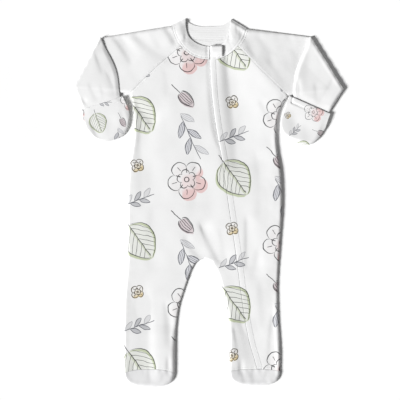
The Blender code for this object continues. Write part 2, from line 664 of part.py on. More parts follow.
class Sleeve:
    """A flattened raglan sleeve, turned over at the elbow so its forearm lies on its upper arm."""

    NECK_COUNT = 3
    COUNT = 11

    def __init__(self, side):
        self.side = side
        spec = SLEEVES[side]
        self.top, self.low = np.array(spec["elbow_top"]), np.array(spec["elbow_low"])
        run = (self.low - self.top) / np.linalg.norm(self.low - self.top)
        self.away = np.array([run[1], -run[0]]) * (1.0 if side == "left" else -1.0)
        reach = 2 * CLOTH + PLY_GAP + PLY_GAP / 2
        self.top = self.top - self.away * reach + run * 1.0
        self.low = self.low - self.away * reach - run * 1.0
        middle, mouth, down = cuff_frame(side)
        inner_end = 1.0 if side == "left" else -1.0
        end = middle + down * SLEEVE_IN_CUFF
        self.wrist_inner = end + mouth * WRIST_HALF * inner_end
        self.wrist_outer = end - mouth * WRIST_HALF * inner_end
        self.underarm = np.array(spec["underarm"])
        self.bow = np.array([INNER_BOW * inner_end, 0.0])
        self.forearm = np.array([self.top, self.low, self.wrist_outer, self.wrist_inner, self.top])

    def over_arm(self, x, y):
        """How far a point is above the upper arm's lower edge."""
        run = self.low - self.underarm
        normal = np.array([-run[1], run[0]]) / np.hypot(*run)
        normal = normal * np.sign(normal[1])
        return (x - self.underarm[0]) * normal[0] + (y - self.underarm[1]) * normal[1]

    def forearm_base(self, x, y):
        """Height of the forearm's underside: on the upper arm, then down to the cuff."""
        above = self.over_arm(x, y)
        from_fold = distance_to_line(x, y, np.array([self.top, self.low]))
        lift = soft_lift(x, y) * (above > 0.0)
        on_arm = 2 * CLOTH + 2 * PLY_GAP + lift + 0.15 * smooth_step(from_fold / 12.0)
        return mix(on_arm, CLOTH + PLY_GAP, smooth_step(-above / DROP_LENGTH))

    def forearm_gap(self, x, y):
        """Air inside the forearm."""
        edge = distance_to_line(x, y, self.forearm)
        lift = FOREARM_LIFT * np.sin(np.pi / 2 * np.clip(edge / FOREARM_ROLL, 0.0, 1.0))
        middle, _, down = cuff_frame(self.side)
        into_cuff = (x - middle[0]) * down[0] + (y - middle[1]) * down[1]
        return PLY_GAP + lift * smooth_step(-into_cuff / 14.0)

    def cover(self, x, y):
        """Height of what lies on the forearm's upper side."""
        return self.forearm_base(x, y) + 2 * CLOTH + self.forearm_gap(x, y) + CUFF_CLEAR

    def plan(self, station, layer, inset):
        """Plan points across one layer, and its two edge points, at a station from 0 to 2."""
        start, ends = armhole_points(self.side, layer, inset, self.NECK_COUNT, self.COUNT)
        fold = ring_shares(self.top, self.low, inset, self.COUNT)
        if station <= 1.0:
            points = mix(start, fold, station)
            return points, mix(ends[0], self.top, station), mix(ends[1], self.low, station)
        share = station - 1.0
        wrist = ring_shares(self.wrist_inner, self.wrist_outer, inset, self.COUNT)
        bow = self.bow * np.sin(np.pi * share) ** 2
        toward_outer = np.linspace(1.0, 0.0, self.COUNT)[:, None]
        points = mix(fold, wrist, share) + bow * toward_outer
        return (points, mix(self.top, self.wrist_inner, share) + bow,
                mix(self.low, self.wrist_outer, share))

    def ring(self, station, turn, inner):
        """Closed ring of points round the tube at one station, turned about the elbow's fold."""
        inset = INNER_INSET if inner else SIDE_INSET
        back, back_top, back_low = self.plan(station, "back", inset)
        front, front_top_end, front_low_end = self.plan(station, "front", inset)
        top_end, low_end = (back_top + front_top_end) / 2, (back_low + front_low_end) / 2
        if inner:
            across = (low_end - top_end) / np.linalg.norm(low_end - top_end)
            top_end, low_end = top_end + across * CLOTH, low_end - across * CLOTH
        plan = np.vstack([back, low_end, front[::-1], top_end])
        x, y = plan[:, 0], plan[:, 1]
        n = self.COUNT
        wall = CLOTH if inner else 0.0
        if station <= 1.0:
            total = front_top(x, y)
            z = np.where(np.arange(len(x)) < n, wall, total - wall)
            z[n] = z[-1] = 0.0
            z[n], z[-1] = total[n] / 2, total[-1] / 2
        else:
            base, gap = self.forearm_base(x, y), self.forearm_gap(x, y)
            total = 2 * CLOTH + gap
            z = base + np.where(np.arange(len(x)) < n, total - wall, wall)
            z[n] = base[n] + total[n] / 2
            z[-1] = base[-1] + total[-1] / 2
        if turn > 0.0:
            axis = front_top(x, y) + PLY_GAP / 2
            radius = axis - z
            plan = plan + self.away * (radius * np.sin(turn))[:, None]
            z = axis - radius * np.cos(turn)
        return np.column_stack([plan, z])

    def build(self, material):
        """The sleeve's solid."""
        stations = [(s, 0.0) for s in (0.0, 0.12, 0.28, 0.46, 0.64, 0.82, 1.0)]
        stations += [(1.0, turn) for turn in np.radians([36.0, 72.0, 108.0, 144.0, 180.0])]
        stations += [(s, 0.0) for s in (1.08, 1.2, 1.34, 1.48, 1.6, 1.7, 1.8, 1.85, 1.9, 1.95, 2.0)]
        outer = np.array([self.ring(s, turn, False) for s, turn in stations])
        inner = np.array([self.ring(s, turn, True) for s, turn in stations])
        make_wall("sleeve_" + self.side, outer.reshape(-1, 3), inner.reshape(-1, 3),
                  ring_quads(len(stations), outer.shape[1]), material)


def cuff(side, sleeve, material):
    """Mitten cuff: a pocket closed at its rounded end, its mouth over the sleeve's end."""
    spec = SLEEVES[side]
    middle, mouth, down = cuff_frame(side)
    across = 0.985 * np.sin(np.pi / 2 * np.linspace(-1.0, 1.0, 11))
    depth = spec["cuff_depth"] * (1.0 - np.abs(across) ** CUFF_ROUND) ** (1.0 / CUFF_ROUND)

    def ring(share, inner):
        inset = 1.9 if inner else 0.0
        wall = CLOTH if inner else 0.0
        run = share * (depth - inset)
        spread = smooth_step(run / CUFF_SPREAD)
        half = mix(spec["mouth_half"], spec["cuff_half"], spread) - inset
        aside = mix(spec["mouth_aside"], spec["cuff_aside"], spread)
        plan = middle + mouth * (aside + across * half)[:, None] + down * run[:, None]
        edge = np.minimum(half * (1.0 - np.abs(across)), depth - inset - run)
        roll = np.sin(np.pi / 2 * np.clip(edge / CUFF_ROLL, 0.0, 1.0))
        pocket = 2 * CLOTH + PLY_GAP + CUFF_LIFT * roll
        over_sleeve = sleeve.cover(plan[:, 0], plan[:, 1]) + CLOTH
        total = mix(over_sleeve, pocket, smooth_step((run - SLEEVE_IN_CUFF - 1.5) / 12.0))
        chamfer = 0.0 if inner else 0.55 * smooth_step((share - 0.96) / 0.04)
        lower = np.full(len(run), wall + chamfer)
        upper = total - wall - chamfer
        reach = half + (0.0 if inner else 0.9)
        right = middle + mouth * (aside + reach)[-1] + down * run[-1]
        left = middle + mouth * (aside - reach)[0] + down * run[0]
        return np.vstack([
            np.column_stack([plan, lower]), np.append(right, total[-1] / 2),
            np.column_stack([plan, upper])[::-1], np.append(left, total[0] / 2),
        ])

    shares = (0.0, 0.07, 0.14, 0.21, 0.3, 0.45, 0.6, 0.75, 0.88, 0.96, 1.0)
    outer = np.array([ring(share, False) for share in shares])
    inner = np.array([ring(share, True) for share in shares])
    count, n = outer.shape[1], len(across)
    last = (len(shares) - 1) * count
    pairs = [(last + i, last + 2 * n - i) for i in range(n)]
    cap = [(a[0], b[0], b[1], a[1]) for a, b in zip(pairs, pairs[1:])]
    cap += [(last + n - 1, last + n, last + n + 1), (last + 2 * n, last + 2 * n + 1, last)]
    make_wall("cuff_" + side, outer.reshape(-1, 3), inner.reshape(-1, 3),
              ring_quads(len(shares), count).tolist() + cap, material)


def clear_scene():
    """Removes what the scene holds."""
    for item in list(bpy.data.objects):
        bpy.data.objects.remove(item, do_unlink=True)


def main():
    """Builds every piece."""
    clear_scene()
    materials = {name: make_material(name) for name in MATERIALS}
    back_panel(materials["print"])
    front_wide(materials["print"])
    front_narrow(materials["print"])
    zip_tape(materials["zip"])
    zip_cover(materials["print"])
    zip_guard(materials["band"])
    zip_slider(materials["slider"])
    neckband(materials["band"])
    for side in ("left", "right"):
        foot_pieces(side, materials["foot"])
        sleeve = Sleeve(side)
        sleeve.build(materials["plain"])
        cuff(side, sleeve, materials["print"])


main()
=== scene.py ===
"""Looks of a footed baby sleepsuit that lies flat, front up, with its sleeves turned forward.

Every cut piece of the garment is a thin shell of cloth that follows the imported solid's form, with
finer creases, puckered seams, stitches and a line-drawn botanical print.  Plan sizes are in
millimetres, as a maker would measure them, and become metres when a mesh is made.
Left and right are as seen from above with the neck at the top (+Y).
"""

from __future__ import annotations

import logging
from dataclasses import dataclass, field
from enum import Enum
from typing import Callable, Sequence

import bpy
import numpy as np
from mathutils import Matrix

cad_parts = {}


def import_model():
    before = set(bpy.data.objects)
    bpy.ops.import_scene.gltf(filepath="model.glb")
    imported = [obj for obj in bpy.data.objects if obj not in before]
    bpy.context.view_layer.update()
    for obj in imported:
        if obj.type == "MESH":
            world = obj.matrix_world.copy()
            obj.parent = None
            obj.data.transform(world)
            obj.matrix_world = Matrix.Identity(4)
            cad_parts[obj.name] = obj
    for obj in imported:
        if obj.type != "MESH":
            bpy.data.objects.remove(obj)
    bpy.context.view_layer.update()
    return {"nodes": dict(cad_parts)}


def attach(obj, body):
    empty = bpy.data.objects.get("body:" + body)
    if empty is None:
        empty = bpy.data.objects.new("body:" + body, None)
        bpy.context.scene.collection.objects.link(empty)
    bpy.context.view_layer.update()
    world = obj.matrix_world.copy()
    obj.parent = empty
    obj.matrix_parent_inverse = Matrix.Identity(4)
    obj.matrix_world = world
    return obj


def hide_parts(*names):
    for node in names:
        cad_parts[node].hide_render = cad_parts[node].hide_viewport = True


LOG = logging.getLogger("sleepsuit")
MM = 0.001
Grid = np.ndarray
Curve = Callable[[Grid], Grid]
Surface = Callable[[Grid, Grid], Grid]
Material, Thing = bpy.types.Material, bpy.types.Object
Tree, Socket = bpy.types.NodeTree, bpy.types.NodeSocket
Colour = tuple[float, float, float]

# Distances from an edge that rolls over at which a piece has rows of points
EDGE_STEPS = np.array([0.0, 0.25, 0.7, 1.3, 2.1, 3.1])
# Distances below the crotch of the first rows of a leg, and of the first points of its outline
LEG_STEPS = np.array([0.0, 0.15, 0.5, 1.0, 1.7, 2.7, 4.1, 6.0, 8.4])
OUTLINE_STEPS = np.array([0.0, 0.2, 0.6, 1.2, 2.0, 3.1, 4.6, 6.5, 9.0])


class Side(Enum):
    """Which side of the garment, as seen from above."""

    LEFT = "left"
    RIGHT = "right"

    @property
    def sign(self) -> float:
        """-1 on the left and 1 on the right."""
        return -1.0 if self is Side.LEFT else 1.0


class Facing(Enum):
    """Which way the outer faces of a new mesh point."""

    UP = "up"
    OUT = "out"


# ---- outline of the suit
# Outline tables, columns: y, x
SIDES = {Side.LEFT: np.array([
    (167.9, -121.5), (149, -116.9), (130, -115.4), (97, -115.4), (80, -118.2),
    (43, -123), (0, -124.5), (-90, -124.5), (-148, -129.1), (-194, -130.7),
    (-262, -130),
]), Side.RIGHT: np.array([
    (164.1, 120.3), (149, 109.7), (135, 104.8), (109, 102.2), (81, 103.8),
    (51, 108.8), (5, 111.1), (-62, 107.8), (-125, 104.4), (-163, 104.8),
    (-217, 108.2), (-262, 108.2),
])}
INSEAMS = {Side.LEFT: np.array([
    (-84.5, -8.3), (-87.6, -15.9), (-93, -22), (-100.6, -26.6), (-110, -30.4),
    (-134, -38.9), (-159, -46.5), (-186, -50.3), (-262, -52.6),
]), Side.RIGHT: np.array([
    (-84.5, -8.3), (-86.8, -0.6), (-93.7, 5.5), (-102, 10.9), (-111, 14.7),
    (-136, 21.6), (-166, 28.5), (-184, 30), (-262, 30.8),
])}
RAGLANS = {
    Side.LEFT: np.array([(240.6, -43.5), (213, -75.6), (184, -106.2), (167.9, -121.5)]),
    Side.RIGHT: np.array([(240.6, 43.8), (208.5, 74.4), (178.6, 105), (164.1, 120.3)]),
}
BACK_RAGLANS = {
    Side.LEFT: np.array([(260.5, -43.5), (214, -82.7), (167.9, -121.5)]),
    Side.RIGHT: np.array([(259, 43.8), (211.5, 82), (164.1, 120.3)]),
}
ZIP_LINE = np.array([
    (242, 0.4), (219, 0.9), (166, 4), (117, 10.1), (66, 19.3), (-3, 29.2),
    (-64, 38.4), (-133, 47.6), (-189, 56), (-217, 62.1), (-243, 69.8),
    (-262, 75),
])

# Width over which an edge that faces right rises, columns: y, at the side, at the left inseam
RIGHT_ROLLS = np.array([
    (-290, 6, 6), (-235, 4.5, 6), (-200, 7, 6), (-170, 3.6, 2.8),
    (100, 3.2, 2.5), (122, 1.6, 2.5), (158, 1.6, 2.5), (182, 5, 2.5),
    (290, 5, 2.5),
])

# Share of the air under the front, columns: y, on the left, on the right
LIFT_SHARES = np.array([
    (-290, 1, 1), (-222, 1, 1), (-200, 0.8, 0.95), (-185, 0.35, 0.75),
    (-165, 0.2, 0.55), (-130, 0.12, 0.3), (-100, 0.12, 0.4), (-80, 0.3, 0.5),
    (-35, 0.8, 0.75), (10, 1, 1), (290, 1, 1),
])

# Share of the depth of each seam: left and right raglan, left and right ankle, left and right neck
SEAM_SHARES = (1, 0.6, 1, 1, 0.45, 0.45)

# How far the wide front goes down beside the zip, columns: y, depth, width
ZIP_DIPS = np.array([
    (-260, 0.1, 4), (40, 0.12, 3), (81, 0.4, 3), (95, 1.4, 6),
    (112, 2, 8), (158, 1.6, 7.5), (204, 0.9, 7), (236, 0.2, 6),
])

# Neckband edges, columns: x, y
BAND_SEAMS = {Side.LEFT: np.array([
    (0.7, 219.2), (-15.9, 221.5), (-29.7, 227.6), (-43.5, 240.6), (-52.6, 255.9), (-57.2, 271.2),
]), Side.RIGHT: np.array([
    (56, 266.6), (52.2, 254.4), (43.8, 240.6), (33, 229.9), (19.3, 222.2), (8, 219.2),
])}
BAND_FREES = {Side.LEFT: np.array([
    (0.3, 239.8), (-8.3, 240.6), (-20.5, 245.2), (-31.2, 254.4), (-35.8, 268.1), (-36.6, 281.1),
]), Side.RIGHT: np.array([
    (33, 280.4), (31.5, 268.1), (27.7, 254.4), (20, 243.4), (7.6, 239.8),
])}
BAND_SEAM_BACK = np.array([
    (-57.2, 271.2), (-43.5, 260.5), (-26.6, 252.1), (-0.6, 248.2), (25.4, 252.1),
    (43.8, 259), (56, 266.6),
])
BAND_FREE_BACK = np.array([
    (-36.6, 281.1), (-29.7, 275.4), (-20.5, 271.6), (-0.6, 270.4), (19.3, 272.2), (33, 280.4),
])

# Creases of the front and the upper arms, columns: x0, y0, x1, y1, height (a trough's is
# negative), width on the side that turns right, width on the other side, sideways bow
CREASES = np.array([
    (28, 218, 44, 66, -3.1, 11, 44, 0),
    (-19, 54, -19, 5, -0.7, 9, 22, 1),
    (-10, -38, 15, -84, -1.3, 5, 14, -1),
    (-34, -58, -14, -81, -0.8, 4, 10, -1),
    (19, -47, 25, -90, -0.5, 5, 12, 1),
    (57.5, -28, 58.5, -94, -0.9, 4, 14, 0),
    (75, -79, 71, -106, -0.8, 7, 9, 0),
    (55, -182, 71, -252, -2.9, 17, 60, 0),
    (38, -194, 48, -255, -0.6, 3, 8, 1),
    (97, -182, 94, -246, -0.8, 5, 10, -1),
    (-97, -165, -95, -250, -1.6, 24, 10, 1),
    (-65, -160, -60, -209, -0.9, 6, 8, 1),
    (-63, -240, -63, -257, -0.8, 3, 5, 0),
    (-102, 130, -99, 5, -1.3, 10, 28, -2),
    (-112, 147, -89, 126, -1.1, 4.5, 12, 1),
    (80, 152, 96, 130, -0.5, 4, 9, -1),
    (-66, 198, -62, 170, -0.45, 6, 16, 1),
    (-117, -246, -117, -257, -0.6, 2.5, 5, 0),
    (48, -246, 47, -257, -0.8, 2.5, 5, 0),
    (-91, -148, -88, -202, -0.35, 7, 18, 2),
    (-85, -18, -88, -90, -0.4, 8, 24, -2),
    (74, 69, 80, -13, -0.45, 8, 22, 2),
    (71, -133, 74, -182, 0.5, 8, 14, 0),
    (-36, 204, -33, 140, 0.35, 9, 16, -2),
    (-146, 254, -121, 219, -1.4, 3.5, 18, 1.5),
    (-137, 256, -117, 231, -0.5, 4, 8, 0),
    (-111, 257, -66, 225, -1.5, 9, 16, -2),
    (-68, 270, -54, 250, -1.8, 4, 8, 0.5),
    (-91, 265, -76, 242, -0.4, 4, 10, 0),
    (-128, 216, -106, 182, -0.4, 7, 14, 1),
    (62, 236, 116, 176, -0.8, 7, 26, 0),
    (48, 236, 118, 170, 2.2, 25, 42, 0),
    (146, 246, 131, 178, -0.7, 12, 6, 0),
    (80, 250, 97, 222, -0.5, 6, 10, 1),
    (93, 216, 116, 189, -0.5, 6, 10, -1),
    (56, 250, 67, 230, -0.6, 4, 8, 0),
    (120, 259, 132, 234, -0.4, 5, 9, 0),
    (-91, -261, -88, -277, -0.5, 4, 8, 0),
    (-69, -261, -74, -277, -0.4, 3, 6, 0),
    (65, -260, 71, -275, -0.5, 4, 8, 0),
    (51, -261, 54, -273, -0.5, 3, 6, 0),
    (87, -261, 84, -273, -0.4, 3, 6, 0),
    (45, 282, 48, 258, -1.3, 9, 12, 0),
    (41, 279, 43, 262, -0.5, 2, 4, 0),
    (-3, 240, -2, 219, -0.8, 3, 5, 0),
    (47, 274, 48, 258, -0.6, 2, 4, 0),
    (-37, 253, -37, 249, -0.6, 2.5, 3, 0),
    (30.2, 254.5, 30.2, 250.5, -0.6, 2.5, 3, 0),
])

# Creases of the forearms and of the cuffs, same columns
ARM_CREASES = np.array([
    (-172, 225, -164, 205, -0.7, 3.5, 10, 0),
    (-154, 196, -140, 156, -0.4, 4, 9, 1.5),
    (-192, 156, -181, 143, -0.7, 2.5, 6, 0),
    (-180, 176, -169, 156, -0.4, 4, 9, -0.5),
    (-163, 173, -158, 152, -0.35, 3.5, 7, 0),
    (152, 228, 152, 182, -1.1, 12, 26, 0),
    (132.6, 184, 133.2, 160, -1.6, 3, 7, 0),
    (170, 219, 176, 182, -0.25, 9, 14, 1),
    (186, 182, 172, 158, -0.4, 4, 9, 0),
    (163, 176, 166, 155, -0.4, 4, 8, 0),
])
CUFF_CREASES = np.array([
    (-183, 124, -169, 95, -0.8, 3, 9, 1),
    (-158, 140, -152, 115, -0.4, 6, 12, 0),
    (-134, 140, -131, 118, -0.4, 3, 6, 0),
    (166, 147, 155, 107, -0.5, 17, 14, 0),
    (134, 148, 134, 114, -1.3, 12, 26, 0),
    (177, 124, 169, 103, -0.5, 4, 8, 0),
])


# ---- plain formulas
def smooth_value(table: Grid, at: Grid | float) -> Grid:
    """Reads a smooth curve through a two-column table, by cubic Hermite pieces.

    Args:
        table: Rows of argument and value.
        at: Arguments to read at, held inside the table's ends.

    Returns:
        The values.
    """
    order = np.argsort(table[:, 0])
    knots, values = table[order, 0], table[order, 1]
    slopes = np.gradient(values, knots)
    at = np.clip(at, knots[0], knots[-1])
    i = np.clip(np.searchsorted(knots, at) - 1, 0, len(knots) - 2)
    span = knots[i + 1] - knots[i]
    t = (at - knots[i]) / span
    start = (2 * t**3 - 3 * t**2 + 1) * values[i] + (t**3 - 2 * t**2 + t) * span * slopes[i]
    end = (-2 * t**3 + 3 * t**2) * values[i + 1] + (t**3 - t**2) * span * slopes[i + 1]
    return start + end


def along(points: Grid, shares: Grid) -> Grid:
    """Points on a smooth curve through a list of points.

    Args:
        points: The curve's own points, one row each.
        shares: Places from 0 to 1 of the curve's length.

    Returns:
        One row for each share.
    """
    steps = np.linalg.norm(np.diff(points, axis=0), axis=1)
    length = np.concatenate([[0.0], np.cumsum(steps)])
    at = np.asarray(shares) * length[-1]
    columns = [smooth_value(np.column_stack([length, points[:, i]]), at)
               for i in range(points.shape[1])]
    return np.column_stack(columns)


def smooth_step(t: Grid | float) -> Grid:
    """0 to 1 with level ends."""
    t = np.clip(t, 0.0, 1.0)
    return t * t * (3.0 - 2.0 * t)


def mix(a: Grid | float, b: Grid | float, t: Grid | float) -> Grid:
    """Straight blend from a to b."""
    return a + (b - a) * t


def nearest(x: Grid, y: Grid, line: Grid, widths: Grid | float = 1.0) -> tuple[Grid, Grid]:
    """Measures points against a polyline.

    Args:
        x: Plan places.
        y: Plan places.
        line: The polyline's points.
        widths: What the distance to each piece of the line is counted in.

    Returns:
        The least distance to the line, and the run along the line of the place it is from.
    """
    shape = np.shape(x)
    px, py = np.ravel(x)[:, None], np.ravel(y)[:, None]
    start, run = line[:-1], np.diff(line, axis=0)
    length = np.hypot(run[:, 0], run[:, 1])
    before = np.concatenate([[0.0], np.cumsum(length)[:-1]])
    dx, dy = px - start[:, 0], py - start[:, 1]
    share = np.clip((dx * run[:, 0] + dy * run[:, 1]) / length**2, 0.0, 1.0)
    away = np.hypot(dx - share * run[:, 0], dy - share * run[:, 1])
    away = away / widths
    best = np.argmin(away, axis=1)
    row = np.arange(len(best))
    runs = before[best] + share[row, best] * length[best]
    return away[row, best].reshape(shape), runs.reshape(shape)


def faces_right(line: Grid) -> Grid:
    """How far each piece of a closed line faces right, from -1, straight left, to 1."""
    run = np.diff(line, axis=0)
    turn = np.sum(line[:-1, 0] * line[1:, 1] - line[1:, 0] * line[:-1, 1])
    return np.sign(turn) * run[:, 1] / np.hypot(run[:, 0], run[:, 1])


def square_to(run: Grid, toward: tuple[float, float]) -> Grid:
    """Unit direction square to a run, on the side that looks toward the given direction."""
    normal = np.array([-run[1], run[0]]) / np.hypot(*run)
    return normal * np.sign(normal @ np.array(toward))


def quarter(share: Grid) -> Grid:
    """A quarter sine from 0 up to a level 1."""
    return np.sin(np.pi / 2 * np.clip(share, 0.0, 1.0))


def bell(off: Grid, width: Grid | float) -> Grid:
    """1 on a line, falling off alike on both sides of it."""
    return np.exp(-((off / width) ** 2))


@dataclass(frozen=True)
class Pucker:
    """Small uneven waves along an edge, their height and length in millimetres."""

    height: float
    length: float
    bend: float
    slow: float

    def at(self, run: Grid, phase: float = 0.0) -> Grid:
        """Height of the waves at places along the edge."""
        bent = self.bend * np.sin(run / self.slow + phase)
        return self.height * np.sin(2 * np.pi * run / self.length + bent)


@dataclass(frozen=True)
class Ground:
    """Soft uneven ground: a sum of plane waves of several lengths in seeded directions."""

    height: float
    shortest: float
    longest: float
    seed: int
    count: int = 11
    fall: float = 0.8

    def at(self, x: Grid, y: Grid) -> Grid:
        """Height at plan places."""
        rng = np.random.default_rng(self.seed)
        total = np.zeros(np.shape(x))
        lengths = np.geomspace(self.shortest, self.longest, self.count)
        for length in lengths:
            turn, phase, bend = rng.uniform(0.0, 2 * np.pi, 3)
            u = x * np.cos(turn) + y * np.sin(turn)
            v = y * np.cos(turn) - x * np.sin(turn)
            bent = 0.8 * np.sin(2 * np.pi * v / (2.3 * length) + bend)
            wave = np.sin(2 * np.pi * u / length + phase + bent)
            total = total + (length / self.longest) ** self.fall * wave
        return self.height * (total / np.sum((lengths / self.longest) ** self.fall) * 1.6)


def crease_field(x: Grid, y: Grid, table: Grid) -> Grid:
    """Height of a table of creases, each steeper on one side, uneven along it and bowed.

    Args:
        x: Plan places.
        y: Plan places.
        table: Rows of x0, y0, x1, y1, height, steep width, gentle width and bow.

    Returns:
        The summed height at each place.
    """
    total = np.zeros(np.shape(x))
    for number, (x0, y0, x1, y1, height, steep, gentle, bow) in enumerate(table):
        length = np.hypot(x1 - x0, y1 - y0)
        ux, uy = (x1 - x0) / length, (y1 - y0) / length
        flip = 1.0 if uy < 0.0 else -1.0
        run = ((x - x0) * ux + (y - y0) * uy) / length
        off = flip * ((y - y0) * ux - (x - x0) * uy) - bow * 4.0 * run * (1.0 - run)
        past = np.maximum(np.maximum(-run, run - 1.0), 0.0) * length
        wide = 0.8 + 0.4 * np.clip(run, 0.0, 1.0)
        width = np.where((off < 0.0) == (height < 0.0), steep, gentle) * wide
        deep = 1.0 + 0.18 * np.sin(5.0 * run + number)
        total = total + height * deep * bell(past, steep + 3.0) * bell(off, width)
    return total


def even_sine(count: int) -> Grid:
    """Shares from 0 to 1, closer together toward both ends."""
    return 0.5 + 0.5 * np.sin(np.pi / 2 * np.linspace(-1.0, 1.0, count))


def edged(width: float, spacing: float, first: bool = True, last: bool = True) -> Grid:
    """Shares across a width, close together where an edge rolls over.

    Args:
        width: The width.
        spacing: Distance between the inner places.
        first: Whether the first edge rolls.
        last: Whether the last edge rolls.

    Returns:
        Shares from 0 to 1.
    """
    low = EDGE_STEPS if first else EDGE_STEPS[:1]
    high = (width - EDGE_STEPS[::-1]) if last else np.array([width])
    count = max(int((high[0] - low[-1]) / spacing), 2)
    inner = np.linspace(low[-1], high[0], count + 1)[1:-1]
    return np.concatenate([low, inner, high]) / width


# ---- plan and lay
@dataclass(frozen=True)
class Plan:
    """The garment's outline in plan, and where its seams run."""

    crotch: tuple[float, float] = (-8.3, -84.5)
    neck_row: float = 240.6
    underarm_row: float = 166.0
    ankle_row: float = -253.5
    ankle_dip: tuple[float, float] = (6.0, 3.0)
    heel_row: float = -205.0
    heel_round: float = 22.0
    toe_depth: tuple[float, float] = (25.4, 23.8)
    toe_power: float = 3.0
    toe_seam: float = 1.5
    zip_width: float = 7.0
    half_seam: float = 0.10
    seam_shift: float = 0.12
    back_inset: float = 1.0

    def outer_edge(self, side: Side, back: bool = False) -> Curve:
        """An outer edge of a layer: along its raglan seam, then down its side.

        Args:
            side: Which edge.
            back: Whether it is the back's, just inside the rolled edge of the front.

        Returns:
            The edge's x as a function of the height.
        """
        raglan = (BACK_RAGLANS if back else RAGLANS)[side]
        inset = self.back_inset if back else 0.0

        def edge(y: Grid) -> Grid:
            """x at the given heights."""
            return np.where(y > raglan[-1, 0], smooth_value(raglan, y) - side.sign * self.seam_shift,
                            smooth_value(SIDES[side], y) - side.sign * inset)

        return edge

    def inseam(self, side: Side) -> Curve:
        """Inner edge of a leg, its x as a function of the height."""
        return lambda y: smooth_value(INSEAMS[side], y)

    def zip_left(self, y: Grid) -> Grid:
        """Left edge of the zip, from the neck to the right foot."""
        return smooth_value(ZIP_LINE, y)

    def leg_span(self, side: Side) -> tuple[float, float]:
        """x of a leg's two edges at its ankle, lowest first."""
        ends = [float(smooth_value(tables[side], self.ankle_row)) for tables in (SIDES, INSEAMS)]
        return min(ends), max(ends)

    def leg_across(self, x: Grid, side: Side) -> Grid:
        """-1 to 1 across a leg at its ankle."""
        low, high = self.leg_span(side)
        return np.clip(2.0 * (x - low) / (high - low) - 1.0, -1.0, 1.0)

    def ankle(self, x: Grid, side: Side) -> Grid:
        """Seam between a leg and its toe piece, dipping at both sides."""
        dip = self.ankle_dip[side is Side.RIGHT]
        return self.ankle_row - dip * np.abs(self.leg_across(x, side)) ** 3

    def heel(self, x: Grid, side: Side) -> Grid:
        """Rounded seam between the back of a leg and its sole."""
        return self.heel_row - self.heel_round * self.leg_across(x, side) ** 2

    def toe(self, x: Grid, side: Side) -> Grid:
        """Rounded end of a foot, a superellipse."""
        across = np.abs(self.leg_across(x, side))
        depth = self.toe_depth[side is Side.RIGHT]
        round_end = (1.0 - across**self.toe_power) ** (1 / self.toe_power)
        return self.ankle_row - self.toe_seam - depth * round_end

    def silhouette(self) -> Grid:
        """Outline of the front layer, open at the neck."""
        down = np.linspace(160.0, self.ankle_row, 50)
        inner = np.concatenate([self.crotch[1] - OUTLINE_STEPS,
                                np.linspace(-97.0, self.ankle_row, 26)])
        toes, sides, inseams = {}, {}, {}
        for side in Side:
            x = mix(*self.leg_span(side), even_sine(31))
            toes[side] = np.column_stack([x, self.toe(x, side)])
            sides[side] = np.column_stack([smooth_value(SIDES[side], down), down])
            inseams[side] = np.column_stack([smooth_value(INSEAMS[side], inner), inner])
        left, right = ARMS[Side.LEFT], ARMS[Side.RIGHT]
        parts = [
            [BAND_FREE_BACK[0], left.neck_top, left.elbow_top, left.elbow_low, left.underarm],
            sides[Side.LEFT], toes[Side.LEFT], inseams[Side.LEFT][::-1],
            inseams[Side.RIGHT][1:], toes[Side.RIGHT], sides[Side.RIGHT][::-1],
            [right.underarm, right.elbow_low, right.elbow_top, right.neck_top, BAND_FREE_BACK[-1]],
        ]
        line = np.vstack([np.asarray(part, float) for part in parts])
        keep = np.linalg.norm(np.diff(line, axis=0), axis=1) > 0.01
        return line[np.concatenate([[True], keep])]


@dataclass(frozen=True)
class Arm:
    """Corners of one sleeve and of its cuff's mouth in plan."""

    neck_top: tuple[float, float]
    elbow_top: tuple[float, float]
    elbow_low: tuple[float, float]
    underarm: tuple[float, float]
    mouth_left: tuple[float, float]
    mouth_right: tuple[float, float]
    mouth_half: float
    mouth_aside: float
    cuff_half: float
    cuff_depth: float
    cuff_aside: float


ARMS = {
    Side.LEFT: Arm((-57.2, 271.2), (-165.9, 254.4), (-208.7, 175.6), (-121.5, 167.9),
                   (-193.4, 143.4), (-134.5, 162.6), 32.4, 0.4, 35.2, 58.8, 0.4),
    Side.RIGHT: Arm((56.0, 266.6), (154.4, 255.9), (206.2, 173.6), (120.3, 164.1),
                    (126.4, 161.8), (183.0, 137.3), 33.6, -1.6, 34.2, 60.4, -0.2),
}
PLAN = Plan()


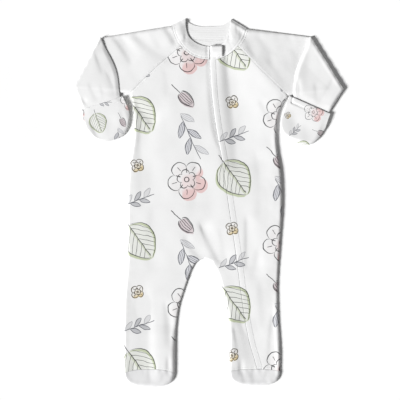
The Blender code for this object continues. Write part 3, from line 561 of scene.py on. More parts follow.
@dataclass
class Lay:
    """How the front layer lies over the back: its lift, folds, creases and sewn edges."""

    cloth: float = 1.2
    gap: float = 0.3
    body_lift: float = 3.0
    left_arm_lift: float = 2.0
    right_arm_lift: float = 0.1
    neck_share: float = 0.15
    neck_centre: tuple[float, float] = (-1.0, 262.0)
    neck_radius: float = 62.0
    right_arm_run: float = 75.0
    left_arm_start: float = 95.0
    left_arm_run: float = 55.0
    least_lift: float = -0.4
    left_roll: float = 2.2
    lip: float = 2.0
    lip_low: float = 0.35
    seam_depth: float = 0.26
    seam_half: float = 1.1
    stitch_off: float = 2.8
    stitch_half: float = 0.9
    stitch_depth: float = 0.05
    pucker: Pucker = Pucker(0.09, 10.5, 1.7, 9.0)
    pucker_reach: float = 6.5
    side_pucker: Pucker = Pucker(0.14, 13.0, 2.0, 17.0)
    side_reach: float = 7.0
    ground: Ground = Ground(0.4, 26.0, 110.0, 4)
    mottle: Ground = Ground(0.1, 11.0, 24.0, 7)
    mottle_start: float = 60.0
    mottle_run: float = 40.0
    crease_reach: float = 8.0
    seam_reach: float = 4.0
    outline: Grid = field(default_factory=PLAN.silhouette)

    def seams(self) -> list[Grid]:
        """Plan lines of the seams that the front layer holds."""
        raglans = [RAGLANS[side][:, ::-1] for side in Side]
        ankles = []
        for side in Side:
            x = np.linspace(*PLAN.leg_span(side), 25)
            ankles.append(np.column_stack([x, PLAN.ankle(x, side)]))
        neck = [along(BAND_SEAMS[side], np.linspace(0, 1, 30)) for side in Side]
        return raglans + ankles + neck

    def rolls(self, line: Grid, left: float, right: Grid | float) -> Grid:
        """Widths over which the edges of a closed line rise, on its left and on its right."""
        return mix(left, right, smooth_step(0.5 + 0.5 * faces_right(line)))

    def outline_rolls(self) -> Grid:
        """Widths over which the pieces of the outline rise."""
        x, y = (0.5 * (self.outline[:-1] + self.outline[1:])).T
        inner = (x < PLAN.crotch[0]) & (y < PLAN.crotch[1])
        side, inseam = (np.interp(y, RIGHT_ROLLS[:, 0], RIGHT_ROLLS[:, i]) for i in (1, 2))
        return self.rolls(self.outline, self.left_roll, np.where(inner, inseam, side))

    def soft_lift(self, x: Grid, y: Grid) -> Grid:
        """Air under the front: a quarter sine up from the outline to a level middle."""
        past_seam = x - np.interp(y, *RAGLANS[Side.RIGHT][::-1].T)
        arm_lift = np.where(x > 0.0, self.right_arm_lift, self.left_arm_lift)
        to_arm = np.where(x > 0.0, np.clip(past_seam / self.right_arm_run, 0.0, 1.0),
                          smooth_step((-x - self.left_arm_start) / self.left_arm_run))
        from_neck = smooth_step(
            np.hypot(x - self.neck_centre[0], y - self.neck_centre[1]) / self.neck_radius)
        left, right = (np.interp(y, LIFT_SHARES[:, 0], LIFT_SHARES[:, i]) for i in (1, 2))
        share = mix(left, right, smooth_step((x + 30.0) / 100.0)) * mix(
            self.neck_share, 1.0, from_neck)
        most = mix(self.body_lift, arm_lift, to_arm) * share
        return most * quarter(nearest(x, y, self.outline, self.outline_rolls())[0])

    def sewing(self, x: Grid, y: Grid) -> Grid:
        """Seams: a groove along each, a fainter one under its stitches, and puckers beside it."""
        total = np.zeros(np.shape(x))
        for number, (line, share) in enumerate(zip(self.seams(), SEAM_SHARES)):
            away, run = nearest(x, y, line)
            groove = self.seam_depth * share * bell(away, self.seam_half)
            stitched = self.stitch_depth * bell(away - self.stitch_off, self.stitch_half)
            pucker = self.pucker.at(run, number) * bell(away, self.pucker_reach)
            total = total - groove - stitched + pucker
        return total

    def front(self, x: Grid, y: Grid, lip: bool = True) -> Grid:
        """Height of the front layer's upper side.

        Args:
            x: Plan places.
            y: Plan places.
            lip: Whether the outline rolls down to the surface below.

        Returns:
            The height at each place.
        """
        edge, run = nearest(x, y, self.outline)
        mottle = self.mottle.at(x, y) * smooth_step((x - self.mottle_start) / self.mottle_run)
        side = self.side_pucker.at(run) * bell(edge, self.side_reach)
        detail = crease_field(x, y, CREASES) + (self.ground.at(x, y) + mottle)
        detail = detail * np.clip(edge / self.crease_reach, 0.0, 1.0)
        lift = np.maximum(self.soft_lift(x, y) + detail, self.least_lift)
        sewing = self.sewing(x, y) * smooth_step(edge / self.seam_reach)
        top = 2 * self.cloth + self.gap + lift + sewing + side
        if lip:
            share = np.clip(edge / self.lip, 0.0, 1.0)
            top = self.lip_low + (top - self.lip_low) * np.sqrt(1.0 - (1.0 - share) ** 2)
        return top


# ---- mesh making
def grid_quads(rows: int, columns: int, first: int = 0) -> Grid:
    """Quads of a grid of points stored row by row."""
    corner = (first + np.arange(rows - 1)[:, None] * columns + np.arange(columns - 1)).ravel()
    return np.column_stack([corner, corner + columns, corner + columns + 1, corner + 1])


def ring_quads(rings: int, count: int) -> Grid:
    """Quads of a tube of closed rings stored one after the other."""
    cells = grid_quads(rings, count + 1)
    return (cells // (count + 1)) * count + cells % (count + 1) % count


def joined(grids: Sequence[Grid]) -> tuple[Grid, Grid]:
    """Joins plan grids that share the points along which they meet.

    Args:
        grids: Arrays of rows, columns and x, y.

    Returns:
        The plan points and the quads.
    """
    points, quads, first = [], [], 0
    for grid in grids:
        points.append(grid.reshape(-1, 2))
        quads.append(grid_quads(*grid.shape[:2], first))
        first += grid.shape[0] * grid.shape[1]
    stacked = np.vstack(points)
    _, keep, back = np.unique(np.round(stacked, 4), axis=0, return_index=True,
                              return_inverse=True)
    return stacked[keep], back.ravel()[np.vstack(quads)]


def faces_outward(points: Grid, faces: Grid, facing: Facing) -> bool:
    """Whether quads already point the way they should."""
    a, b, c, d = (points[faces[:, i]] for i in range(4))
    normal = np.cross(c - a, d - b)
    if facing is Facing.UP:
        return float(normal[:, 2].sum()) > 0.0
    middle = (a + b + c + d) / 4 - points.mean(axis=0)
    return float(np.sum(middle * normal)) > 0.0


def make_piece(name: str, points: Grid, faces: Grid, facing: Facing,
               extra: Sequence[tuple[int, ...]] = (), thickness: float = 0.0) -> Thing:
    """Makes one mesh object with smooth faces.

    Args:
        name: The object's name.
        points: Points in millimetres, one row each.
        faces: Quads as rows of point numbers.
        facing: Which way the faces point.
        extra: Further faces, wound as the quads are.
        thickness: Wall that a Solidify modifier adds on the inner side, 0 for none.

    Returns:
        The object, linked to the scene.
    """
    rows = faces.tolist() + [list(face) for face in extra]
    if not faces_outward(points, faces, facing):
        rows = [row[::-1] for row in rows]
    mesh = bpy.data.meshes.new(name)
    mesh.from_pydata((points * MM).tolist(), [], rows)
    mesh.polygons.foreach_set("use_smooth", np.ones(len(rows), dtype=bool))
    mesh.update()
    piece = bpy.data.objects.new(name, mesh)
    bpy.context.scene.collection.objects.link(piece)
    if thickness > 0.0:
        wall = piece.modifiers.new("wall", "SOLIDIFY")
        wall.thickness = thickness * MM
        wall.offset = -1.0
    LOG.info("%s: %d faces", name, len(rows))
    return piece


def flat_piece(name: str, grids: Sequence[Grid], height: Surface,
               thickness: float) -> Thing:
    """Makes a piece that lies face up.

    Args:
        name: The object's name.
        grids: Its plan, as grids of x and y that share the points along which they meet.
        height: Its upper side, as a function of plan places.
        thickness: Its wall.

    Returns:
        The object.
    """
    plan, quads = joined(grids)
    x, y = plan[:, 0], plan[:, 1]
    points = np.column_stack([x, y, height(x, y)])
    return make_piece(name, points, quads, Facing.UP, thickness=thickness)


@dataclass(frozen=True)
class Bar:
    """A thin closed bar along x, made of rings: one turn of a coil, or one stitch.

    Each tuple has one number for each ring: its place along the bar, its radius and its height.
    """

    run: tuple[float, ...]
    size: tuple[float, ...]
    height: tuple[float, ...]
    sides: int

    def points(self, length: float, radius: float) -> Grid:
        """Points of the bar, ring by ring."""
        turn = np.arange(self.sides) * 2 * np.pi / self.sides
        run, size = np.array(self.run)[:, None] * length, np.array(self.size)[:, None] * radius
        rise = np.array(self.height)[:, None] + size * np.sin(turn)
        rings = np.broadcast_arrays(run, size * np.cos(turn), rise)
        return np.stack(rings, axis=-1).reshape(-1, 3)

    def piece(self, name: str, points: Grid) -> Thing:
        """Makes one object of many such bars.

        Args:
            name: The object's name.
            points: Points of all the bars, an array of bars, points and x, y, z.

        Returns:
            The object.
        """
        count, size = points.shape[:2]
        quads = ring_quads(len(self.run), self.sides)
        faces = (quads[None] + np.arange(count)[:, None, None] * size).reshape(-1, 4)
        caps = [range(self.sides), range(size - 1, size - 1 - self.sides, -1)]
        ends = [tuple(i + k * size for i in cap) for k in range(count) for cap in caps]
        return make_piece(name, points.reshape(-1, 3), faces, Facing.OUT, extra=ends)


COIL_TURN = Bar((-1.0, -0.72, 0.72, 1.0), (0.4, 1.0, 1.0, 0.4), (0.0, 0.0, 0.0, 0.0), 6)
STITCH = Bar((-0.5, -0.36, 0.0, 0.36, 0.5), (0.7, 1.0, 1.0, 1.0, 0.7),
             (-0.35, 0.02, 0.10, 0.02, -0.35), 5)


@dataclass(frozen=True)
class Cut:
    """Flat size that a piece was cut to, in millimetres, and its area in square centimetres."""

    width: float
    length: float
    area: float


def dress(piece: Thing, node: str, material: Material,
          cut: Cut | None = None,
          under: Material | None = None) -> None:
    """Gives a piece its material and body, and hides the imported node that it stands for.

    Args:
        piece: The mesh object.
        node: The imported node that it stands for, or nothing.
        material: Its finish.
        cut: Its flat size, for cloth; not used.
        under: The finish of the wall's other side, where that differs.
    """
    piece.data.materials.append(material)
    if under is not None:
        piece.data.materials.append(under)
        piece.modifiers["wall"].material_offset = 1
    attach(piece, "root")
    if node:
        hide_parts(node)


# ---- body of the garment
# Run over which the rows of a plan grid turn toward a slanting end
END_REACH = 45.0


def block(rows: Grid, shares: Grid, low: Curve, high: Curve, neck: Curve | None = None,
          ankle: Curve | None = None) -> Grid:
    """A plan grid between two upright edges.

    Args:
        rows: Nominal heights, from the neck down.
        shares: Places from 0 to 1 across.
        low: Left edge as a function of the height.
        high: Right edge.
        neck: Height of the first row as a function of x.
        ankle: Height of the last row as a function of x.

    Returns:
        The grid of x and y.
    """
    height = np.repeat(rows[:, None], len(shares), axis=1)
    if neck is not None:
        x = mix(low(rows[0]), high(rows[0]), shares)
        ramp = np.clip((rows - PLAN.underarm_row) / (rows[0] - PLAN.underarm_row), 0.0, 1.0)
        height = height + ramp[:, None] * (neck(x) - rows[0])
    if ankle is not None:
        x = mix(low(rows[-1]), high(rows[-1]), shares)
        ramp = np.clip((rows - rows[-1] - END_REACH) / -END_REACH, 0.0, 1.0)
        height = height + ramp[:, None] * (ankle(x) - rows[-1])
    x = mix(low(height[:, 0])[:, None], high(height[:, -1])[:, None], shares)
    return np.dstack([x, height])


def body_rows(top: float, spacing: float) -> Grid:
    """Nominal heights from the neck to the crotch, close together at both ends."""
    low = PLAN.crotch[1] + EDGE_STEPS[::-1]
    start = top - EDGE_STEPS
    inner = np.linspace(start[-1], low[0], int((top - low[0]) / spacing) + 1)
    return np.concatenate([start[:-1], inner, low[1:]])


def leg_rows(bottom: float, spacing: float) -> Grid:
    """Nominal heights from the crotch to the foot."""
    near, last = PLAN.crotch[1] - LEG_STEPS, bottom + EDGE_STEPS[::-1]
    inner = np.linspace(near[-1], last[0], int((near[-1] - last[0]) / spacing) + 1)
    return np.concatenate([near[:-1], inner, last[1:]])


def whole_rows(top: float, bottom: float, spacing: float) -> Grid:
    """Nominal heights from the neck to the foot."""
    return np.concatenate([body_rows(top, spacing), leg_rows(bottom, spacing)[1:]])


def crotch_shares(low: float, high: float, spacing: float) -> tuple[Grid, Grid, Grid]:
    """Places across a layer that has the crotch's corner among them.

    Args:
        low: Left edge at the crotch.
        high: Right edge at the crotch.
        spacing: Distance between the inner places.

    Returns:
        Shares from the left edge to the crotch, from there to the right edge, and across it all.
    """
    crotch = PLAN.crotch[0]
    left, right = edged(crotch - low, spacing), edged(high - crotch, spacing)
    share = (crotch - low) / (high - low)
    return left, right, np.concatenate([share * left, share + (1.0 - share) * right[1:]])


@dataclass
class Fronts:
    """The two front panels, left and right of the zip."""

    lay: Lay
    spacing: float = 2.6
    wall: float = 0.8
    neck_drop: float = 0.25
    narrow_width: float = 90.0
    dip_round: float = 0.02
    wide_cut: Cut = Cut(212.0, 520.0, 690.0)
    narrow_cut: Cut = Cut(112.0, 520.0, 400.0)

    def neck(self, seam: Grid) -> Curve:
        """Front neckline along a stretch of the neckband's seam, y as a function of x."""
        return lambda x: smooth_value(seam, x) - self.neck_drop

    def zip_dip(self, x: Grid, y: Grid) -> Grid:
        """The left panel goes down beside the zip, deepest at the chest."""
        depth, width = (np.interp(y, ZIP_DIPS[:, 0], ZIP_DIPS[:, i]) for i in (1, 2))
        ramp = 1.0 - (PLAN.zip_left(y) - x) / width
        return -depth * 0.5 * (ramp + np.sqrt(ramp**2 + self.dip_round))

    def wide_height(self, x: Grid, y: Grid) -> Grid:
        """Upper side of the panel left of the zip."""
        return self.lay.front(x, y) + self.zip_dip(x, y)

    def wide(self, material: Material) -> None:
        """Front left of the zip, its leg, the crotch and the inner strip of the other leg."""
        def zip_edge(y: Grid) -> Grid:
            """The panel's right edge, beside the zip."""
            return PLAN.zip_left(y) - PLAN.half_seam

        row = PLAN.crotch[1]
        side = PLAN.outer_edge(Side.LEFT)
        left, right, shares = crotch_shares(float(side(row)), float(zip_edge(row)), self.spacing)
        rows = leg_rows(PLAN.ankle_row, self.spacing)
        grids = [
            block(body_rows(PLAN.neck_row, self.spacing), shares, side, zip_edge,
                  neck=self.neck(BAND_SEAMS[Side.LEFT][:4])),
            block(rows, left, side, PLAN.inseam(Side.LEFT),
                  ankle=lambda x: PLAN.ankle(x, Side.LEFT)),
            block(rows, right, PLAN.inseam(Side.RIGHT), zip_edge,
                  ankle=lambda x: PLAN.ankle(x, Side.RIGHT)),
        ]
        piece = flat_piece("wide_front", grids, self.wide_height, self.wall)
        dress(piece, "front_wide", material, self.wide_cut)

    def narrow(self, material: Material) -> None:
        """Front right of the zip, with the outer strip of the right leg."""
        grid = block(whole_rows(PLAN.neck_row, PLAN.ankle_row, self.spacing),
                     edged(self.narrow_width, self.spacing),
                     lambda y: PLAN.zip_left(y) + PLAN.zip_width + PLAN.half_seam,
                     PLAN.outer_edge(Side.RIGHT), neck=self.neck(BAND_SEAMS[Side.RIGHT][2:]),
                     ankle=lambda x: PLAN.ankle(x, Side.RIGHT))
        piece = flat_piece("narrow_front", [grid], self.lay.front, self.wall)
        dress(piece, "front_narrow", material, self.narrow_cut)


@dataclass
class Back:
    """The back with both legs, flat on the surface."""

    spacing: float = 5.0
    top: float = 1.1
    clear: float = 0.02
    neck_drop: float = 0.25
    heel_gap: float = 0.2
    inset_reach: float = 3.0
    ground: Ground = Ground(0.05, 20.0, 60.0, 9)
    cut: Cut = Cut(250.0, 470.0, 950.0)

    def inseam(self, side: Side) -> Curve:
        """Inner edge of a leg, moved inside the front's from nothing at the crotch."""
        def edge(y: Grid) -> Grid:
            """x at the given heights."""
            inset = PLAN.back_inset * smooth_step((PLAN.crotch[1] - y) / self.inset_reach)
            return PLAN.inseam(side)(y) + side.sign * inset

        return edge

    def build(self, printed: Material, plain: Material) -> None:
        """Builds and dresses the back, which has its printed side down."""
        row = PLAN.crotch[1]
        low, high = (PLAN.outer_edge(side, back=True) for side in Side)
        left, right, shares = crotch_shares(float(low(row)), float(high(row)), self.spacing)
        rows = leg_rows(PLAN.heel_row, self.spacing)
        grids = [
            block(body_rows(BACK_RAGLANS[Side.LEFT][0, 0] - 0.5, self.spacing), shares, low, high,
                  neck=lambda x: smooth_value(BAND_SEAM_BACK, x) - self.neck_drop),
            block(rows, left, low, self.inseam(Side.LEFT),
                  ankle=lambda x: PLAN.heel(x, Side.LEFT) + self.heel_gap),
            block(rows, right, self.inseam(Side.RIGHT), high,
                  ankle=lambda x: PLAN.heel(x, Side.RIGHT) + self.heel_gap),
        ]
        piece = flat_piece("back", grids, lambda x, y: self.top + self.ground.at(x, y),
                           self.top - self.clear)
        dress(piece, "back_panel", plain, self.cut, under=printed)


@dataclass
class Feet:
    """The plain toe pieces and soles."""

    lay: Lay
    spacing: float = 2.2
    wall: float = 0.4
    length: float = 22.0
    gather: Pucker = Pucker(0.22, 14.4513, 2.0, 11.0)
    gather_reach: float = 5.0
    sole_spacing: float = 5.0
    sole_length: float = 75.0
    sole_top: float = 1.1
    sole_wall: float = 1.08
    sole_gap: float = 0.2
    sole_ground: Ground = Ground(0.05, 12.0, 40.0, 12)
    toe_cut: Cut = Cut(82.0, 30.0, 17.0)
    sole_cut: Cut = Cut(79.0, 77.0, 50.0)

    def toe(self, side: Side, material: Material) -> None:
        """The toe piece in front of one foot, gathered a little into the ankle seam."""
        def height(x: Grid, y: Grid) -> Grid:
            """The upper side, with its gathers."""
            gather = self.gather.at(x) * bell(PLAN.ankle(x, side) - y, self.gather_reach)
            return self.lay.front(x, y) + gather

        x = mix(*PLAN.leg_span(side), even_sine(60))[2:-2]
        y = mix(PLAN.ankle(x, side) - 2 * PLAN.half_seam, PLAN.toe(x, side),
                edged(self.length, self.spacing)[:, None])
        grid = np.dstack([np.broadcast_to(x, y.shape), y])
        piece = flat_piece(f"{side.value}_toe", [grid], height, self.wall)
        dress(piece, f"toe_{side.value}", material, self.toe_cut)

    def sole(self, side: Side, material: Material) -> None:
        """The sole under one foot, from the heel seam to the toe."""
        low, high = PLAN.leg_span(side)
        x = mix(low + PLAN.back_inset, high - PLAN.back_inset, even_sine(40))
        y = mix(PLAN.heel(x, side) - self.sole_gap, PLAN.toe(x, side) + PLAN.back_inset,
                edged(self.sole_length, self.sole_spacing)[:, None])
        grid = np.dstack([np.broadcast_to(x, y.shape), y])
        piece = flat_piece(f"{side.value}_sole", [grid],
                           lambda px, py: self.sole_top + self.sole_ground.at(px, py),
                           self.sole_wall)
        dress(piece, f"sole_{side.value}", material, self.sole_cut)


# ---- the zip
@dataclass
class Zip:
    """The tape with its coil, the cover over it and the guard at the neck."""

    lay: Lay
    tape_drop: float = 1.2
    tape_spacing: float = 4.0
    tape_wall: float = 0.6
    cover_start: float = 0.4
    cover_width: float = 9.5
    cover_spacing: float = 2.2
    cover_wall: float = 0.7
    cover_end: float = 2.0
    cover_rise: float = 0.6
    leg_share: float = 0.35
    chest_row: float = 40.0
    chest_run: float = 60.0
    neck_share: float = 0.6
    neck_row: float = 190.0
    neck_run: float = 25.0
    crown_share: float = 0.35
    free_lift: float = 0.12
    sewn_drop: float = 0.3
    lip_share: float = 0.14
    cover_ripple: Ground = Ground(0.2, 20.0, 90.0, 21)
    cover_pull: Pucker = Pucker(0.05, 8.5, 2.0, 13.0)
    guard_left: float = 1.4
    guard_right: float = 20.8
    guard_top: float = 241.4
    guard_bottom: float = 224.0
    guard_raise: float = 3.1
    guard_low: float = 0.2
    guard_top_roll: float = 3.4
    guard_left_roll: float = 1.8
    guard_right_roll: float = 1.6
    guard_edge: float = 1.8
    guard_bottom_run: float = 8.0
    guard_bottom_share: float = 0.25
    guard_bulge: float = 0.06
    guard_wall: float = 1.0
    coil_pitch: float = 1.5
    coil_half: float = 1.9
    coil_wire: float = 0.32
    coil_drop: float = 0.35
    tape_cut: Cut = Cut(16.0, 500.0, 40.0)
    cover_cut: Cut = Cut(14.0, 480.0, 45.0)
    guard_cut: Cut = Cut(20.0, 18.0, 3.5)

    def tape(self, material: Material) -> None:
        """The tape between the two fronts."""
        rows = whole_rows(PLAN.neck_row - self.tape_drop, PLAN.ankle_row, self.tape_spacing)
        grid = block(rows, np.linspace(0.0, 1.0, 6),
                     lambda y: PLAN.zip_left(y) + PLAN.half_seam,
                     lambda y: PLAN.zip_left(y) + PLAN.zip_width - PLAN.half_seam,
                     ankle=lambda x: PLAN.ankle(x, Side.RIGHT))
        piece = flat_piece("tape", [grid], lambda x, y: self.lay.front(x, y) - self.tape_wall,
                           self.tape_wall)
        dress(piece, "zip_tape", material, self.tape_cut)

    def coil(self, material: Material) -> None:
        """The coil's turns: short round bars across the tape, one at each pitch."""
        rows = np.arange(PLAN.neck_row - 6.0, PLAN.ankle_row + 4.0, -self.coil_pitch)
        middle = PLAN.zip_left(rows) + PLAN.zip_width / 2
        places = np.column_stack([middle, rows, self.lay.front(middle, rows) - self.coil_drop])
        one = COIL_TURN.points(self.coil_half, self.coil_wire)
        dress(COIL_TURN.piece("coil", one + places[:, None]), "", material)

    def cover_height(self, x: Grid, y: Grid) -> Grid:
        """The cover's upper side: a low step at its free edge, then down to the panel."""
        across = np.clip((x - PLAN.zip_left(y) - self.cover_start) / self.cover_width, 0.0, 1.0)
        chest = smooth_step((y - self.chest_row) / self.chest_run)
        neck = smooth_step((y - self.neck_row) / self.neck_run)
        rise = self.cover_rise * mix(self.leg_share, 1.0, chest) * mix(1.0, self.neck_share, neck)
        rise = rise * (0.9 + self.cover_ripple.at(np.zeros_like(y), y))
        fall = smooth_step((across - self.crown_share) / (1.0 - self.crown_share))
        near_lip = np.clip(across / self.lip_share, 0.0, 1.0)
        lip = np.sqrt(np.clip(1.0 - (1.0 - near_lip) ** 2, 0.0, 1.0))
        sewn = smooth_step((across - 1.0 + self.lip_share) / self.lip_share)
        sewn = mix(self.free_lift, -self.sewn_drop, sewn)
        pull = self.cover_pull.at(y) * smooth_step(across)
        return self.lay.front(x, y) + sewn + rise * (1.0 - fall) * lip + pull

    def cover(self, material: Material) -> None:
        """The narrow strip over the zip, free along its left edge."""
        rows = whole_rows(self.guard_bottom + self.cover_end, PLAN.ankle_row + self.cover_end,
                          self.cover_spacing)
        grid = block(rows, edged(self.cover_width, 0.8),
                     lambda y: PLAN.zip_left(y) + self.cover_start,
                     lambda y: PLAN.zip_left(y) + self.cover_start + self.cover_width)
        piece = flat_piece("cover", [grid], self.cover_height, self.cover_wall)
        dress(piece, "zip_cover", material, self.cover_cut)

    def guard_height(self, x: Grid, y: Grid) -> Grid:
        """The guard's upper side: raised over the slider, lower at its bottom, rolled all round."""
        right, left = self.guard_right - x, x - self.guard_left
        top, bottom = self.guard_top - y, y - self.guard_bottom
        raised = quarter(top / self.guard_top_roll) * quarter(left / self.guard_left_roll)
        raised = raised * quarter(right / self.guard_right_roll) * mix(
            self.guard_bottom_share, 1.0, smooth_step(bottom / self.guard_bottom_run))
        edge = np.minimum(np.minimum(left, right), np.minimum(top, bottom))
        low = self.lay.front(x, y) + self.lay.gap
        return low + self.guard_raise * raised + self.guard_low + quarter(edge / self.guard_edge)

    def guard(self, material: Material) -> None:
        """The small patch folded over the top of the zip."""
        width, height = self.guard_right - self.guard_left, self.guard_top - self.guard_bottom
        u, v = np.meshgrid(edged(width, 1.0), edged(height, 1.0))
        x = self.guard_left + width * (
            0.5 + (u - 0.5) * (1.0 - (2 * v - 1) ** 6 * self.guard_bulge))
        y = self.guard_top - height * (
            0.5 + (v - 0.5) * (1.0 - (2 * u - 1) ** 6 * self.guard_bulge))
        piece = flat_piece("guard", [np.dstack([x, y])], self.guard_height, self.guard_wall)
        dress(piece, "zip_guard", material, self.guard_cut)


# ---- neckband
@dataclass
class Neckband:
    """One strip from the zip round the back of the neck to the zip."""

    lay: Lay
    wall: float = 0.8
    crown: float = 0.45
    crown_power: float = 0.4
    groove: float = 0.25
    groove_share: float = 0.14
    pucker: Pucker = Pucker(0.05, 8.0, 1.5, 7.0)
    left_low: float = 1.25
    right_low: float = 0.35
    low_start: float = 0.45
    back_share: float = 0.5
    back_clear: float = 0.02
    rib: float = 0.1
    rib_length: float = 3.5
    front_fade: float = 6.0
    back_fade: float = 8.0
    across: int = 41
    front_count: int = 60
    back_count: int = 70
    cut: Cut = Cut(22.0, 300.0, 58.0)

    def stretch(self, seam: Grid, free: Grid, count: int) -> Grid:
        """Plan grid of one stretch, from its sewn to its free edge."""
        shares = np.linspace(0.0, 1.0, count)
        low, high = along(seam, shares)[:, None, :], along(free, shares)[:, None, :]
        return mix(low, high, self.shares()[None, :, None])

    def shares(self) -> Grid:
        """Places from the sewn edge, 0, to the free edge, 1."""
        return even_sine(self.across)

    def rise(self, plan: Grid, free_low: float) -> Grid:
        """Crown across the band, with a groove beside the stitches and small puckers.

        Args:
            plan: Plan grid of one stretch.
            free_low: How far the free edge is below the crown.

        Returns:
            The height over the cloth below, for each point of the grid.
        """
        v = self.shares()[None, :]
        run = np.cumsum(np.hypot(*np.diff(plan[:, 0], axis=0, prepend=plan[:1, 0]).T))[:, None]
        crown = self.crown * np.sin(np.pi * v) ** self.crown_power
        groove = self.groove * bell(v - self.groove_share, 0.05)
        low = free_low * smooth_step((v - self.low_start) / (1.0 - self.low_start))
        return crown - groove + self.pucker.at(run) * (1.0 - v) - low

    def fold(self, pairs: Grid, away: Grid) -> list[Grid]:
        """The turn from the front level down to the back level."""
        x, y = pairs[:, 0], pairs[:, 1]
        half = (self.lay.front(x, y, lip=False) - self.lay.cloth * 2) / 2
        radius = half + self.lay.cloth
        rows = []
        for turn in np.radians(np.linspace(12.0, 168.0, 12)):
            plan = pairs + away * (radius * np.sin(turn))[:, None]
            rows.append(np.column_stack([plan, radius + radius * np.cos(turn)]))
        return rows

    def front_rows(self, plan: Grid, fade: Grid, free_low: float) -> list[Grid]:
        """Rows of points of a stretch on the front.

        Args:
            plan: Its plan grid.
            fade: Share of its crown that each row has.
            free_low: How far its free edge is below the crown.

        Returns:
            One array of points for each row.
        """
        level = self.lay.front(plan[..., 0], plan[..., 1], lip=False)
        return list(np.dstack([plan, level + self.rise(plan, free_low) * fade[:, None]]))

    def back_rows(self, plan: Grid) -> list[Grid]:
        """Rows of points of the stretch on the back, a little ribbed."""
        place = np.linspace(0.0, 1.0, self.back_count)[:, None]
        bent = 0.4 * np.sin(plan[..., 0] / 9.0)
        ribs = self.rib * np.sin(2 * np.pi * plan[..., 1] / self.rib_length + bent)
        rise = self.back_share * np.maximum(self.rise(plan, self.left_low), 0.0) + ribs
        rise = rise * smooth_step(self.back_fade * np.minimum(place, 1.0 - place))
        return list(np.dstack([plan, self.back_clear + np.maximum(rise, 0.0)]))

    def build(self, material: Material) -> None:
        """Builds and dresses the neckband."""
        left, right = (self.stretch(BAND_SEAMS[side], BAND_FREES[side], self.front_count)
                       for side in Side)
        back = self.stretch(BAND_SEAM_BACK, BAND_FREE_BACK, self.back_count)
        fade = smooth_step(np.linspace(self.front_fade, 0.0, self.front_count))
        rows = self.front_rows(left, fade, self.left_low)
        rows += self.fold(left[-1], square_to(left[-1, -1] - left[-1, 0], (-1.0, 1.0)))
        rows += self.back_rows(back)
        rows += self.fold(right[0], square_to(right[0, -1] - right[0, 0], (1.0, 1.0)))[::-1]
        rows += self.front_rows(right, fade[::-1], self.right_low)
        grid = np.array(rows)
        piece = make_piece("band", grid.reshape(-1, 3), grid_quads(*grid.shape[:2]), Facing.OUT,
                           thickness=self.wall)
        if piece.data.polygons[5].normal.z < 0.0:
            piece.data.flip_normals()
        dress(piece, "neckband", material, self.cut)


